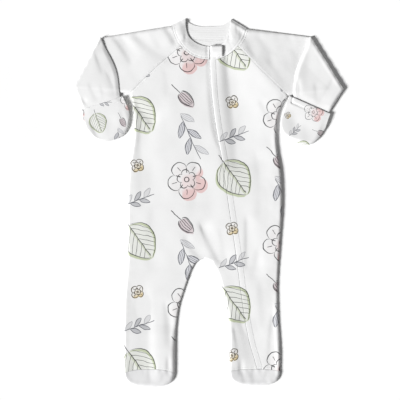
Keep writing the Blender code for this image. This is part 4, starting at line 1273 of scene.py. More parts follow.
# ---- sleeves and cuffs
@dataclass
class Sleeve:
    """A flattened raglan sleeve, turned over at the elbow so its forearm lies on its upper arm."""

    side: Side
    lay: Lay
    wall: float = 0.6
    reach_in_cuff: float = 8.0
    wrist_half: float = 28.8
    drop: float = 12.0
    shoulder: float = 10.0
    long_drop: float = 50.0
    bow: float = 7.0
    arm_lift: float = 1.5
    left_roll: float = 1.2
    inner_roll: float = 36.0
    outer_roll: float = 4.0
    edge_thin: float = 0.5
    thin_reach: float = 6.0
    crease_reach: float = 7.0
    clear_rise: float = 0.15
    fold_share: float = 0.45
    neck_share: float = 0.24
    inset: float = 1.7
    inner_start: float = 2.2
    spacing: float = 2.6
    ground: Ground = Ground(0.3, 20.0, 60.0, 31)
    cut: Cut = Cut(170.0, 225.0, 330.0)

    def __post_init__(self) -> None:
        """Works out the fold line, the wrist and the forearm's outline."""
        self.arm = ARMS[self.side]
        top, low = np.array(self.arm.elbow_top), np.array(self.arm.elbow_low)
        run = (low - top) / np.linalg.norm(low - top)
        self.away = np.array([run[1], -run[0]]) * -self.side.sign
        reach = (2 * self.lay.cloth + self.lay.gap + self.lay.gap / 2) * self.fold_share
        self.right_roll = self.inner_roll if self.side is Side.LEFT else self.outer_roll
        self.top = top - self.away * reach + run
        self.low = low - self.away * reach - run
        self.middle, self.mouth, self.down = self.cuff_frame()
        end = self.middle + self.down * self.reach_in_cuff
        self.inner = end - self.mouth * self.wrist_half * self.side.sign
        self.outer = end + self.mouth * self.wrist_half * self.side.sign
        self.underarm = np.array(self.arm.underarm)
        self.up = square_to(self.low - self.underarm, (0.0, 1.0))
        self.inner_edge = self.bowed(self.top, self.inner, np.linspace(0.0, 1.0, 15), 1.0)
        self.edge = np.vstack([self.top, self.low, self.outer, self.inner_edge[::-1]])

    def bowed(self, start: Grid, end: Grid, shares: Grid, part: Grid | float) -> Grid:
        """Places between two points or rows of points, pushed toward the body between them."""
        shares = np.asarray(shares)
        bow = np.array([self.bow * -self.side.sign, 0.0])
        pushed = (np.sin(np.pi * shares) ** 2 * part)[..., None] * bow
        return mix(start, end, shares[..., None]) + pushed

    def cuff_frame(self) -> tuple[Grid, Grid, Grid]:
        """Middle of the cuff's mouth, and unit directions along it and down into the cuff."""
        left, right = np.array(self.arm.mouth_left), np.array(self.arm.mouth_right)
        mouth = (right - left) / np.linalg.norm(right - left)
        return (left + right) / 2, mouth, np.array([mouth[1], -mouth[0]])

    def over_arm(self, x: Grid, y: Grid) -> Grid:
        """How far a place is above the upper arm's lower edge."""
        return (x - self.underarm[0]) * self.up[0] + (y - self.underarm[1]) * self.up[1]

    def base(self, x: Grid, y: Grid) -> Grid:
        """Height of the forearm's underside: on the upper arm, then down to the cuff."""
        above = self.over_arm(x, y)
        lift = self.lay.soft_lift(x, y) * (above > 0.0)
        return mix(self.on_arm(x, y) + lift, self.lay.cloth + self.lay.gap,
                   smooth_step(-above / self.drop))

    def on_arm(self, x: Grid, y: Grid) -> Grid:
        """Height of the least upper arm with the gap over it."""
        from_fold = nearest(x, y, np.array([self.top, self.low]))[0]
        rise = self.clear_rise * smooth_step(from_fold / self.drop)
        return 2 * self.lay.cloth + 2 * self.lay.gap + rise

    def bridge(self, x: Grid, y: Grid) -> Grid:
        """Air under the forearm's upper side, which goes down past the arm in a long slope."""
        above = self.over_arm(x, y)
        shift = np.maximum(self.shoulder - above, 0.0)
        lift = self.lay.soft_lift(x + self.up[0] * shift, y + self.up[1] * shift)
        smooth = mix(self.on_arm(x, y) + lift, self.lay.cloth + self.lay.gap,
                     smooth_step((self.shoulder - above) / self.long_drop))
        return np.maximum(smooth - self.base(x, y), 0.0)

    def hollow(self, x: Grid, y: Grid) -> Grid:
        """Air inside the forearm, with its creases."""
        edge = nearest(x, y, self.edge)[0]
        rolls = self.lay.rolls(self.edge, self.left_roll, self.right_roll)
        share = quarter(nearest(x, y, self.edge, rolls)[0])
        into_cuff = (x - self.middle[0]) * self.down[0] + (y - self.middle[1]) * self.down[1]
        creases = crease_field(x, y, ARM_CREASES) + self.ground.at(x, y)
        lift = self.arm_lift * share + creases * smooth_step(edge / self.crease_reach)
        lift = np.maximum(lift, 0.0) * smooth_step(-into_cuff / self.drop)
        return self.lay.gap + lift + self.bridge(x, y) * share

    def upper_side(self, x: Grid, y: Grid) -> Grid:
        """Height of the forearm's upper side."""
        return self.base(x, y) + 2 * self.lay.cloth + self.hollow(x, y)

    def armhole(self, shares: Grid, front: bool) -> Grid:
        """Where one layer of the sleeve ends: down the neckband, then down the raglan seam."""
        sign = self.side.sign
        left = self.side is Side.LEFT
        if front:
            seam = BAND_SEAMS[self.side][3:][::-1] if left else BAND_SEAMS[self.side][:3]
            raglan = RAGLANS[self.side]
            shift = np.array([0.3 * sign, 0.0])
        else:
            seam = BAND_SEAM_BACK[:2] if left else BAND_SEAM_BACK[-2:][::-1]
            raglan = BACK_RAGLANS[self.side]
            shift = np.array([0.25 * sign, -0.25])
        neck = along(seam, np.clip(shares / self.neck_share, 0.0, 1.0)) + shift
        down = np.clip((shares - self.neck_share) / (1.0 - self.neck_share), 0.0, 1.0)
        rows = mix(raglan[0, 0], self.underarm[1], down)
        seam_x = smooth_value(raglan, rows) + sign * PLAN.seam_shift
        below = np.column_stack([seam_x, rows])
        return np.where((shares < self.neck_share)[:, None], neck, below)

    def ring_layout(self) -> tuple[Grid, Grid]:
        """Places round the tube: share from the top edge to the low edge, and share of height."""
        turn = np.radians([0.0, 22.0, 45.0, 67.0])
        length = np.linalg.norm(self.low - self.top)
        ends = self.inset * (1.0 - np.cos(turn)) / length
        height = 0.5 - 0.5 * np.sin(turn)
        inner = np.arange(1, 50) * 0.02
        inner = inner[np.minimum(inner, 1.0 - inner) > self.inner_start / length]
        share = np.concatenate([ends, inner, 1.0 - ends[::-1]])
        low = np.concatenate([height, np.zeros(len(inner)), height[::-1]])
        up_share = share[1:-1][::-1]
        up = 1.0 - low[1:-1][::-1]
        return np.concatenate([share, up_share]), np.concatenate([low, up])

    def ring(self, station: float, turn: float) -> Grid:
        """One ring: station 0 to 1 on the upper arm, 1 to 2 on the forearm, turned at the fold."""
        share, height = self.ring_layout()
        fold = self.top + share[:, None] * (self.low - self.top)
        if station <= 1.0:
            start = mix(self.armhole(share, False), self.armhole(share, True), height[:, None])
            plan = mix(start, fold, station)
            x, y = plan[:, 0], plan[:, 1]
            z = height * self.lay.front(x, y, lip=False)
        else:
            t = station - 1.0
            wrist = self.inner + share[:, None] * (self.outer - self.inner)
            plan = self.bowed(fold, wrist, t, 1.0 - share)
            x, y = plan[:, 0], plan[:, 1]
            inside = nearest(x, y, self.inner_edge)[0]
            # Thin along the inner edge, but neither at the fold nor in the cuff
            thin = mix(self.edge_thin, 1.0, smooth_step(inside / self.thin_reach))
            thin = mix(1.0, thin, smooth_step((t - 0.05) / 0.15) * smooth_step((0.95 - t) / 0.1))
            total = (2 * self.lay.cloth + self.hollow(x, y)) * thin
            z = self.base(x, y) + (1.0 - height) * total
        if turn > 0.0:
            axis = self.lay.front(x, y, lip=False) + self.lay.gap / 2
            radius = axis - z
            plan = plan + self.away * (self.fold_share * radius * np.sin(turn))[:, None]
            z = axis - radius * np.cos(turn)
        return np.column_stack([plan, z])

    def build(self, material: Material) -> None:
        """Builds and dresses the sleeve."""
        stations = [(s, 0.0) for s in edged(100.0, self.spacing, last=False)]
        stations += [(1.0, turn) for turn in np.radians(np.linspace(15.0, 180.0, 12))]
        stations += [(1.0 + s, 0.0) for s in edged(100.0, self.spacing, first=False)[1:]]
        rings = np.array([self.ring(s, turn) for s, turn in stations])
        name = self.side.value
        piece = make_piece(f"{name}_sleeve", rings.reshape(-1, 3), ring_quads(*rings.shape[:2]),
                           Facing.OUT, thickness=self.wall)
        dress(piece, f"sleeve_{name}", material, self.cut)


@dataclass(frozen=True)
class Pocket:
    """Form of a cuff: the power of its rounded end, and the air inside it."""

    power: float
    lift: float


POCKETS = {Side.LEFT: Pocket(2.8, 2.4), Side.RIGHT: Pocket(3.3, 4.0)}


@dataclass
class Cuff:
    """A mitten cuff: a pocket closed at its rounded end, its mouth over the sleeve's end."""

    sleeve: Sleeve
    wall: float = 0.6
    aside_wall: float = 0.9
    side_share: float = 0.985
    count: int = 45
    left_roll: float = 2.0
    right_roll: float = 9.0
    spread: float = 28.0
    clear: float = 0.5
    overlap: float = 1.5
    ramp: float = 24.0
    hem_rise: float = 0.7
    hem_reach: float = 34.0
    hem_groove: float = 0.06
    hem_row: float = 7.0
    hem_share: float = 0.115
    hem_edge: float = 3.0
    hem_side: float = 12.0
    crease_reach: float = 6.0
    lip: float = 0.25
    lip_run: float = 2.0
    end_start: float = 0.9
    ground: Ground = Ground(0.25, 16.0, 50.0, 41)
    cut: Cut = Cut(74.0, 124.0, 78.0)

    def layout(self) -> tuple[Grid, Grid]:
        """Places round the pocket: -1 to 1 across it, and share of its height."""
        inner = self.side_share * np.sin(np.pi / 2 * np.linspace(-1.0, 1.0, self.count))
        turn = np.radians([60.0, 30.0, 0.0])
        ends = self.side_share + 0.03 * (1.0 - np.sin(turn)) ** 0.5
        height = 0.5 - 0.5 * np.sin(turn)
        across = np.clip(np.concatenate([inner, ends, ends[:-1][::-1]]), -1.0, 1.0)
        low = np.concatenate([np.zeros(self.count), height, 1.0 - height[:-1][::-1]])
        return np.concatenate([across, -across]), np.concatenate([low, 1.0 - low])

    def hem(self, run: Grid, edge: Grid, aside: Grid) -> Grid:
        """Height that the hem adds: raised toward the mouth, with a groove and a thin lip.

        Args:
            run: Distance from the mouth.
            edge: Distance from the pocket's outline.
            aside: Distance from the pocket's sides.

        Returns:
            The height at each place.
        """
        low = self.hem_groove * bell(run - self.hem_row, 1.0)
        low = low + self.lip * smooth_step((self.lip_run - run) / self.lip_run)
        rise = self.hem_rise * np.clip(1.0 - run / self.hem_reach, 0.0, 1.0)
        return rise * smooth_step(aside / self.hem_side) - low * smooth_step(edge / self.hem_edge)

    def ring(self, share: float) -> Grid:
        """One ring round the pocket, at a share of its depth from the mouth."""
        arm, sleeve, lay = self.sleeve.arm, self.sleeve, self.sleeve.lay
        pocket = POCKETS[sleeve.side]
        across, height = self.layout()
        inner = np.clip(np.abs(across), 0.0, self.side_share)
        depth = arm.cuff_depth * (1.0 - inner**pocket.power) ** (1.0 / pocket.power)
        run = share * depth
        spread = smooth_step(run / self.spread)
        half = mix(arm.mouth_half, arm.cuff_half, spread)
        aside = mix(arm.mouth_aside, arm.cuff_aside, spread) + across * (half + self.aside_wall)
        plan = sleeve.middle + sleeve.mouth * aside[:, None] + sleeve.down * run[:, None]
        x, y = plan[:, 0], plan[:, 1]
        from_side = half * (1.0 - inner)
        edge = np.minimum(from_side, depth - run)
        roll = mix(self.left_roll, self.right_roll, smooth_step(0.5 + 0.5 * across))
        detail = crease_field(x, y, CUFF_CREASES) + self.ground.at(x, y)
        air = pocket.lift * quarter(edge / roll) + detail * smooth_step(edge / self.crease_reach)
        closed = 2 * lay.cloth + lay.gap + np.maximum(air, 0.0)
        over = sleeve.upper_side(x, y) + self.clear + lay.cloth
        past = smooth_step((run - sleeve.reach_in_cuff - self.overlap) / self.ramp)
        total = mix(over, closed, past) + self.hem(run, edge, from_side)
        end = smooth_step((share - self.end_start) / (1.0 - self.end_start))
        thin = 0.5 + (height - 0.5) * np.sqrt(np.maximum(1.0 - end**2, 0.0))
        return np.column_stack([plan, np.maximum(mix(height, thin, end) * total, 0.0)])

    def build(self, material: Material) -> Grid:
        """Builds and dresses the cuff.

        Args:
            material: Its finish.

        Returns:
            The line that its hem stitches follow.
        """
        near = np.array([0.0, 0.004, 0.012, 0.024, 0.04])
        last = np.array([0.93, 0.955, 0.972, 0.985, 0.994, 0.999])
        shares = np.concatenate([near, np.linspace(0.06, 0.9, 34), last])
        rings = np.array([self.ring(float(share)) for share in shares])
        name = self.sleeve.side.value
        piece = make_piece(f"{name}_cuff", rings.reshape(-1, 3), ring_quads(*rings.shape[:2]),
                           Facing.OUT, thickness=self.wall)
        dress(piece, f"cuff_{name}", material, self.cut)
        return self.ring(self.hem_share)[self.layout()[1] > 0.99]


# ---- stitching
def beside(line: Grid, offset: float) -> Grid:
    """A plan line moved sideways, to its left where the offset is positive."""
    run = np.gradient(line, axis=0)
    run = run / np.linalg.norm(run, axis=1)[:, None]
    return line + offset * np.column_stack([-run[:, 1], run[:, 0]])


@dataclass
class Stitching:
    """Rows of short threads along the seams."""

    lay: Lay
    pitch: float = 3.1
    length: float = 2.3
    radius: float = 0.17
    near: float = 2.6
    sink: float = 0.02
    band_rise: float = 0.25
    cover_edge: float = 1.6
    cover_sink: float = 0.04
    hem_sink: float = 0.1

    def on_front(self, plan: Grid) -> Grid:
        """A plan line laid on the front layer."""
        return np.column_stack([plan, self.lay.front(plan[:, 0], plan[:, 1]) - self.sink])

    def lines(self, zipper: Zip, hems: Sequence[Grid]) -> list[Grid]:
        """Every row of stitches of the garment.

        Args:
            zipper: The zip, for the row along its cover.
            hems: The lines of the cuffs' hems.

        Returns:
            Rows of x, y and z, one array for each row of stitches.
        """
        lines = []
        for side in Side:
            seam = along(RAGLANS[side][:, ::-1], np.linspace(0.03, 0.97, 60))
            offsets = (-self.lay.stitch_off, self.lay.stitch_off)
            lines += [self.on_front(beside(seam, offset)) for offset in offsets]
        for side in Side:
            low, high = PLAN.leg_span(side)
            x = np.linspace(low + 6.0, high - 6.0, 40)
            lines.append(self.on_front(np.column_stack([x, PLAN.ankle(x, side) + self.near])))
        for side in Side:
            line = along(BAND_SEAMS[side], np.linspace(0.04, 0.96, 60))
            on_band = self.on_front(beside(line, self.near * side.sign))
            lines.append(on_band + np.array([0.0, 0.0, self.band_rise]))
            lines.append(self.on_front(beside(line, -self.near * side.sign)))
        rows = np.linspace(zipper.guard_bottom - 2.0, PLAN.ankle_row + 6.0, 260)
        x = PLAN.zip_left(rows) + zipper.cover_width - self.cover_edge
        lines.append(np.column_stack([x, rows, zipper.cover_height(x, rows) - self.cover_sink]))
        return lines + [hem - np.array([0.0, 0.0, self.hem_sink]) for hem in hems]

    def build(self, lines: Sequence[Grid], material: Material) -> None:
        """Lays stitches along lines of points.

        Args:
            lines: Rows of x, y and z, each array one row of stitches.
            material: The thread's finish.
        """
        places, heads = [], []
        for line in lines:
            length = float(np.sum(np.linalg.norm(np.diff(line, axis=0), axis=1)))
            count = max(int(length / self.pitch), 1)
            shares = (np.arange(count) + 0.5) / count
            ahead = 0.3 / count
            places.append(along(line, shares))
            heads.append(along(line, shares + ahead) - along(line, shares - ahead))
        place, head = np.vstack(places), np.vstack(heads)
        head = head / np.linalg.norm(head, axis=1)[:, None]
        side = np.cross(np.array([0.0, 0.0, 1.0]), head)
        side = side / np.linalg.norm(side, axis=1)[:, None]
        basis = np.stack([head, side, np.cross(head, side)], axis=1)
        one = STITCH.points(self.length, self.radius)
        points = np.einsum("pi,kij->kpj", one, basis) + place[:, None, :]
        dress(STITCH.piece("stitches", points), "", material)


# ---- finishes
# Sockets of a colour Mix node: its two colours, and its result
MIX_BELOW, MIX_ABOVE, MIX_RESULT = 6, 7, 2
# Half width and softness of a drawn outline, and of a fine vein
LINE = (0.66, 0.35)
VEIN = (0.5, 0.3)
CENTRE = (0.5, 0.5, 0.5)
MASKS = {"Line": "NodeSocketFloat", "Fill": "NodeSocketFloat"}


class Term:
    """A value inside a node tree, so that shader formulas read as formulas."""

    def __init__(self, tree: Tree, socket: Socket) -> None:
        """Wraps a socket."""
        self.tree, self.socket = tree, socket

    def made(self, kind: str, inputs: dict[str | int, Value], output: int = 0,
             **settings: object) -> Term:
        """Adds a node to this value's tree, and gives one of its outputs."""
        return Term(self.tree, add_node(self.tree, kind, inputs, **settings).outputs[output])

    def math(self, operation: str, *others: Term | float) -> Term:
        """Adds a Math node with this value first."""
        return self.made("Math", dict(enumerate((self, *others))), operation=operation)

    def __add__(self, other: Term | float) -> Term:
        """Sum."""
        return self.math("ADD", other)

    def __sub__(self, other: Term | float) -> Term:
        """Difference."""
        return self.math("SUBTRACT", other)

    def __mul__(self, other: Term | float) -> Term:
        """Product."""
        return self.math("MULTIPLY", other)

    def __truediv__(self, other: Term | float) -> Term:
        """Quotient."""
        return self.math("DIVIDE", other)

    def __pow__(self, other: float) -> Term:
        """Power."""
        return self.math("POWER", other)

    def size(self) -> Term:
        """Absolute value."""
        return self.math("ABSOLUTE")

    def fraction(self) -> Term:
        """What is left over a whole number."""
        return self.math("FRACT")

    def most(self, *others: Term | float) -> Term:
        """The largest of this and the others."""
        total = self
        for other in others:
            total = total.math("MAXIMUM", other)
        return total

    def step(self, zero_at: float, one_at: float) -> Term:
        """A smooth step from 0 to 1 between two values."""
        return self.made("MapRange", {"Value": self, "From Min": zero_at, "From Max": one_at},
                         interpolation_type="SMOOTHSTEP")

    def between(self, start: float, end: float, soft: float) -> Term:
        """1 between two values and 0 outside them, with soft steps just inside them."""
        return self.step(start, start + soft) * self.step(end, end - soft)

    def drawn(self, width: float, soft: float) -> Term:
        """A line where the value is 0: 1 within the half width, with a soft edge."""
        return self.size().step(width + soft, width - soft)

    def vector(self, operation: str, second: Term | Sequence[float]) -> Term:
        """Adds a Vector Math node with this vector first."""
        slot = "Scale" if operation == "SCALE" else 1
        return self.made("VectorMath", {0: self, slot: second}, operation=operation)

    def turned(self, angle: Term | float) -> Term:
        """This vector turned about the upright axis."""
        return self.made("VectorRotate", {"Vector": self, "Angle": angle},
                         rotation_type="Z_AXIS")

    def parts(self) -> tuple[Term, Term]:
        """x and y of this vector."""
        node = add_node(self.tree, "SeparateXYZ", {0: self})
        return Term(self.tree, node.outputs[0]), Term(self.tree, node.outputs[1])

    def noise(self, scale: float, detail: float, colour: bool = False) -> Term:
        """A Noise texture at this place, as a value or as a colour."""
        return self.made("TexNoise", {"Vector": self, "Scale": scale, "Detail": detail},
                         int(colour))


Value = Term | float | Sequence[float]


def feed(tree: Tree, slot: Socket, value: Value) -> None:
    """Links a term to a socket, or sets the socket to a number, a vector or a colour."""
    if isinstance(value, Term):
        tree.links.new(value.socket, slot)
    else:
        slot.default_value = (*value, 1.0) if slot.type == "RGBA" else value


def add_node(tree: Tree, kind: str, inputs: dict[str | int, Value],
             **settings: object) -> bpy.types.Node:
    """Adds a shader node.

    Args:
        tree: The node tree.
        kind: The node's type, without its first word.
        inputs: Terms or values, by the name or number of the socket.
        settings: The node's own properties.

    Returns:
        The node.
    """
    node = tree.nodes.new("ShaderNode" + kind)
    for name, value in settings.items():
        setattr(node, name, value)
    for slot, value in inputs.items():
        feed(tree, node.inputs[slot], value)
    return node


def blend_colour(tree: Tree, factor: Term | float, below: Term | Colour,
                 above: Term | Colour, blend: str = "MIX") -> Term:
    """Blends two colours by a mask."""
    node = add_node(tree, "Mix", {"Factor": factor, MIX_BELOW: below, MIX_ABOVE: above},
                    data_type="RGBA", blend_type=blend)
    return Term(tree, node.outputs[MIX_RESULT])


class Group:
    """A shader node group with named inputs and outputs."""

    def __init__(self, name: str, inputs: dict[str, float | None], outputs: dict[str, str]) -> None:
        """Makes the group.

        Args:
            name: Its name.
            inputs: Names and default numbers; None stands for a vector.
            outputs: Names and socket types.
        """
        self.tree = bpy.data.node_groups.new(name, "ShaderNodeTree")
        self.labels = list(inputs)
        for label, value in inputs.items():
            kind = "NodeSocketVector" if value is None else "NodeSocketFloat"
            socket = self.tree.interface.new_socket(label, in_out="INPUT", socket_type=kind)
            if value is not None:
                socket.default_value = value
        for label, kind in outputs.items():
            self.tree.interface.new_socket(label, in_out="OUTPUT", socket_type=kind)
        self.enter = self.tree.nodes.new("NodeGroupInput")
        self.leave = self.tree.nodes.new("NodeGroupOutput")

    def read(self) -> list[Term]:
        """The group's inputs, in their order."""
        return [Term(self.tree, self.enter.outputs[label]) for label in self.labels]

    def give(self, **values: Term) -> None:
        """Sets the group's outputs."""
        for label, value in values.items():
            feed(self.tree, self.leave.inputs[label], value)

    def use(self, tree: Tree, **values: Term | float) -> dict[str, Term]:
        """Places the group in another tree.

        Args:
            tree: The other tree.
            values: Its inputs, by name.

        Returns:
            Its outputs, by name.
        """
        node = add_node(tree, "Group", values, node_tree=self.tree)
        return {socket.name: Term(tree, socket) for socket in node.outputs}


def jersey_group() -> Group:
    """Fine knit: rows of small loops, a soft nap and a faint uneven tone."""
    group = Group("jersey", {"Place": None, "Wale": 0.0009},
                  {"Height": "NodeSocketFloat", "Tone": "NodeSocketFloat"})
    place, wale = group.read()
    x, y = place.parts()
    off_column = ((x / wale).fraction() - 0.5).size()
    course = (y / wale * 1.25 + off_column * 1.2).fraction() - 0.5
    loop = course.size() * -2.0 + off_column
    group.give(Height=loop * 0.5 + place.noise(900.0, 3.0) * 0.8,
               Tone=place.noise(26.0, 3.0) - 0.5)
    return group


def half_drop_group() -> Group:
    """Wraps a place into a half-drop repeat, turned about the motif's middle, in millimetres."""
    group = Group("half_drop", {"Place": None, "Column": 145.0, "Row": 193.0, "Aside": 0.0,
                                "Up": 0.0, "Turn": 0.0}, {"Local": "NodeSocketVector"})
    place, column, row, aside, up, turn = group.read()
    x, y = place.parts()
    across = x / column - aside
    drop = (across.math("FLOOR") * 0.5).fraction()
    down = y / row - up + drop
    local = place.made("CombineXYZ", {0: (across.fraction() - 0.5) * column,
                                      1: (down.fraction() - 0.5) * row})
    group.give(Local=local.turned(turn))
    return group


def blossom_group() -> Group:
    """Open blossom: an outline of round petals, an inner ring of them, veins and a round eye."""
    group = Group("blossom", {"Local": None, "Radius": 29.0, "Petals": 5.0}, MASKS)
    local, radius, petals = group.read()
    x, y = local.parts()
    away = (x * x + y * y).math("SQRT")
    share = away / radius
    angle = y.math("ARCTAN2", x) * petals * 0.5
    lobe = angle.math("COSINE").size()
    outer = radius * (lobe**0.5 * 0.44 + 0.56)
    inner = radius * ((angle + 1.1).math("COSINE").size() ** 0.6 * 0.2 + 0.3)
    notch = (lobe * away / petals * 2.0).drawn(*LINE) * share.between(0.33, 0.60, 0.04)
    vein = (angle.math("SINE").size() * away / petals * 2.0).drawn(*VEIN)
    vein = vein * share.between(0.52, 0.82, 0.04)
    outline, ring = (away - outer).drawn(0.72, 0.35), (away - inner).drawn(*LINE)
    eye = (away - radius * 0.12).drawn(*LINE)
    patch = (x * 0.9 - y * 0.35).step(-2.0, 5.0) * share.step(0.3, 0.5)
    wash = patch * 0.8 + share.step(0.50, 0.30) * 0.35 + 0.06
    group.give(Line=outline.most(ring, eye, notch, vein),
               Fill=(away - outer).step(0.6, -0.6) * wash)
    return group


def leaf_group() -> Group:
    """Broad pointed leaf: outline, midrib with a stalk, and slanting side veins."""
    group = Group("leaf", {"Local": None, "Length": 62.0, "Width": 24.0, "Vein": 9.5}, MASKS)
    local, length, width, vein = group.read()
    x, y = local.parts()
    t, off = x / length + 0.5, y.size()
    belly = (t * (t * -1.0 + 1.0) * 4.0).most(0.0) ** 0.72
    edge = off - belly * width * (t * -0.55 + 1.3)
    within = t.between(0.0, 1.0, 0.02)
    outline = edge.drawn(*LINE) * within
    midrib = off.drawn(0.6, 0.3) * t.between(-0.2, 0.95, 0.02)
    slant = (x - off * 0.85 - off * off * 0.012) / vein
    side = ((slant.fraction() - 0.5) * vein).drawn(*VEIN)
    side = side * edge.step(0.3, -0.3) * t.step(0.03, 0.06) * t.step(0.92, 0.88)
    inside = edge.step(0.5, -0.5) * within
    rim, heart = edge.size().step(3.2, 1.0) * within, off.step(2.6, 0.6) * inside * 0.7
    group.give(Line=outline.most(midrib, side), Fill=rim.most(heart, inside * 0.22))
    return group


def twig_group() -> Group:
    """Twig: a stem with slim leaves set alternately along it, each filled with fine strokes."""
    group = Group("twig", {"Local": None, "Half": 27.0, "Step": 27.0, "Leaf": 27.0,
                           "Width": 4.6, "Stroke": 2.3}, MASKS)
    local, half, pace, leaf, width, stroke = group.read()
    x, y = local.parts()
    lean = 0.62
    ahead, aside = float(np.cos(lean)), float(np.sin(lean))
    shifted = x + y.math("GREATER_THAN", 0.0) * pace * 0.5
    cell, off = (shifted / pace).fraction() * pace, y.size()
    u, v = cell * ahead + off * aside, off * ahead - cell * aside
    belly = (u / leaf * np.pi).math("SINE").most(0.0) * width
    within = ((x - cell + pace * 0.5).size() - half).step(0.2, -0.2) * (u - leaf).step(0.1, -0.1)
    edge = v.size() - belly
    fill = edge.step(0.35, -0.35) * within
    outline = edge.drawn(0.48, 0.3) * within * belly.step(0.2, 0.6)
    strokes = ((v / stroke).fraction() - 0.5).drawn(0.13, 0.12) * fill * belly.step(0.6, 1.6)
    stem = off.drawn(*VEIN) * (x.size() - half).step(9.2, 9.0)
    group.give(Line=outline.most(stem, strokes), Fill=fill)
    return group


def bud_group() -> Group:
    """Closed bud: a drop-shaped outline with petal lines that meet at its tip, and a stalk."""
    group = Group("bud", {"Local": None, "Length": 30.0, "Width": 19.0}, MASKS)
    local, length, width = group.read()
    x, y = local.parts()
    t = x / length + 0.5
    held = t.most(0.0).math("MINIMUM", 1.0)
    half = held**0.45 * (held * -1.0 + 1.0) ** 0.75 * width
    off = y.size()
    within = t.between(0.0, 1.0, 0.02)
    petal = ((y / (half + 0.2) * 2.5 + 0.5).fraction() - 0.5) * half * 0.4
    petal = petal.drawn(0.42, 0.28) * (off - half).step(0.2, -0.2)
    petal = petal * t.step(0.02, 0.1) * t.step(0.86, 0.8)
    stalk = off.drawn(0.55, 0.3) * t.between(-0.62, 0.06, 0.02)
    group.give(Line=((off - half).drawn(*LINE) * within).most(petal, stalk),
               Fill=(off - half).step(0.5, -0.5) * within)
    return group


@dataclass(frozen=True)
class Motif:
    """Where one motif of the print sits in its repeat, and its colours."""

    kind: str
    aside: float
    up: float
    turn: float
    ink: Colour
    tint: Colour
    strength: float
    shift: tuple[float, float] = (0.0, 0.0)
    sizes: tuple[tuple[str, float], ...] = ()


# Inks of the print, its six motifs, and how strong and how shaky its lines are
CHARCOAL = (0.030, 0.030, 0.034)
SLATE = (0.075, 0.08, 0.105)
MOTIFS = (
    Motif("blossom", 0.26, 0.19, 0.3, CHARCOAL, (0.86, 0.40, 0.38), 0.62, (5.0, -3.0)),
    Motif("leaf", 0.77, 0.20, 0.95, CHARCOAL, (0.42, 0.52, 0.18), 0.62, (1.2, -1.6)),
    Motif("twig", 0.30, 0.52, 1.15, SLATE, (0.42, 0.44, 0.56), 0.30),
    Motif("twig", 0.76, 0.53, -0.35, SLATE, (0.2, 0.21, 0.26), 0.45, (0.0, 0.0),
          (("Half", 15.0), ("Step", 15.0), ("Leaf", 18.0), ("Width", 3.3), ("Stroke", 60.0))),
    Motif("bud", 0.26, 0.82, 0.8, CHARCOAL, (0.55, 0.36, 0.40), 0.45, (1.5, -1.5)),
    Motif("blossom", 0.74, 0.80, 0.6, (0.10, 0.08, 0.05), (0.80, 0.58, 0.16), 0.75, (0.8, -0.8),
          (("Radius", 10.0), ("Petals", 4.0))),
)
INK_STRENGTH = 0.96
SHAKE_SCALE, SHAKE_REACH = 0.07, 4.5


def print_group() -> Group:
    """The botanical print: six motifs in a half-drop repeat, drawn with a slightly shaky line."""
    group = Group("botanical_print", {"Place": None, "Scale": 1.0}, {"Color": "NodeSocketColor"})
    tree = group.tree
    makers = {"blossom": blossom_group(), "leaf": leaf_group(), "twig": twig_group(),
              "bud": bud_group()}
    drop = half_drop_group()
    place, scale = group.read()
    place = place.vector("SCALE", scale**-1.0 * (1.0 / MM))
    shake = place.noise(SHAKE_SCALE, 2.0, colour=True).vector("SUBTRACT", CENTRE)
    place = place.vector("ADD", shake.vector("SCALE", SHAKE_REACH))
    colour: Term | Colour = (1.0, 1.0, 1.0)
    for motif in MOTIFS:
        local = drop.use(tree, Place=place, Aside=motif.aside, Up=motif.up,
                         Turn=motif.turn)["Local"]
        moved = local.vector("SUBTRACT", (*motif.shift, 0.0))
        sizes = dict(motif.sizes)
        line = makers[motif.kind].use(tree, Local=local, **sizes)["Line"]
        tint = makers[motif.kind].use(tree, Local=moved, **sizes)["Fill"]
        colour = blend_colour(tree, tint * motif.strength, colour, motif.tint)
        colour = blend_colour(tree, line * INK_STRENGTH, colour, motif.ink)
    group.give(Color=colour)
    return group


def start_material(name: str) -> tuple[Material, bpy.types.Node, Term]:
    """A new material with its shader and its place in object coordinates."""
    material = bpy.data.materials.new(name)
    material.use_nodes = True
    tree = material.node_tree
    coordinates = add_node(tree, "TexCoord", {})
    return material, tree.nodes["Principled BSDF"], Term(tree, coordinates.outputs["Object"])


def finish_material(shader: bpy.types.Node, base: Term, height: Term, strength: float,
                    distance: float, values: dict[str, float]) -> None:
    """Feeds the shader.

    Args:
        shader: The shader.
        base: Its colour.
        height: What its bumps follow.
        strength: The bumps' strength.
        distance: The bumps' depth.
        values: Its other inputs, by name.
    """
    bump = add_node(base.tree, "Bump", {"Strength": strength, "Distance": distance,
                                        "Height": height})
    normal = Term(base.tree, bump.outputs[0])
    for name, value in {"Base Color": base, "Normal": normal, **values}.items():
        feed(base.tree, shader.inputs[name], value)


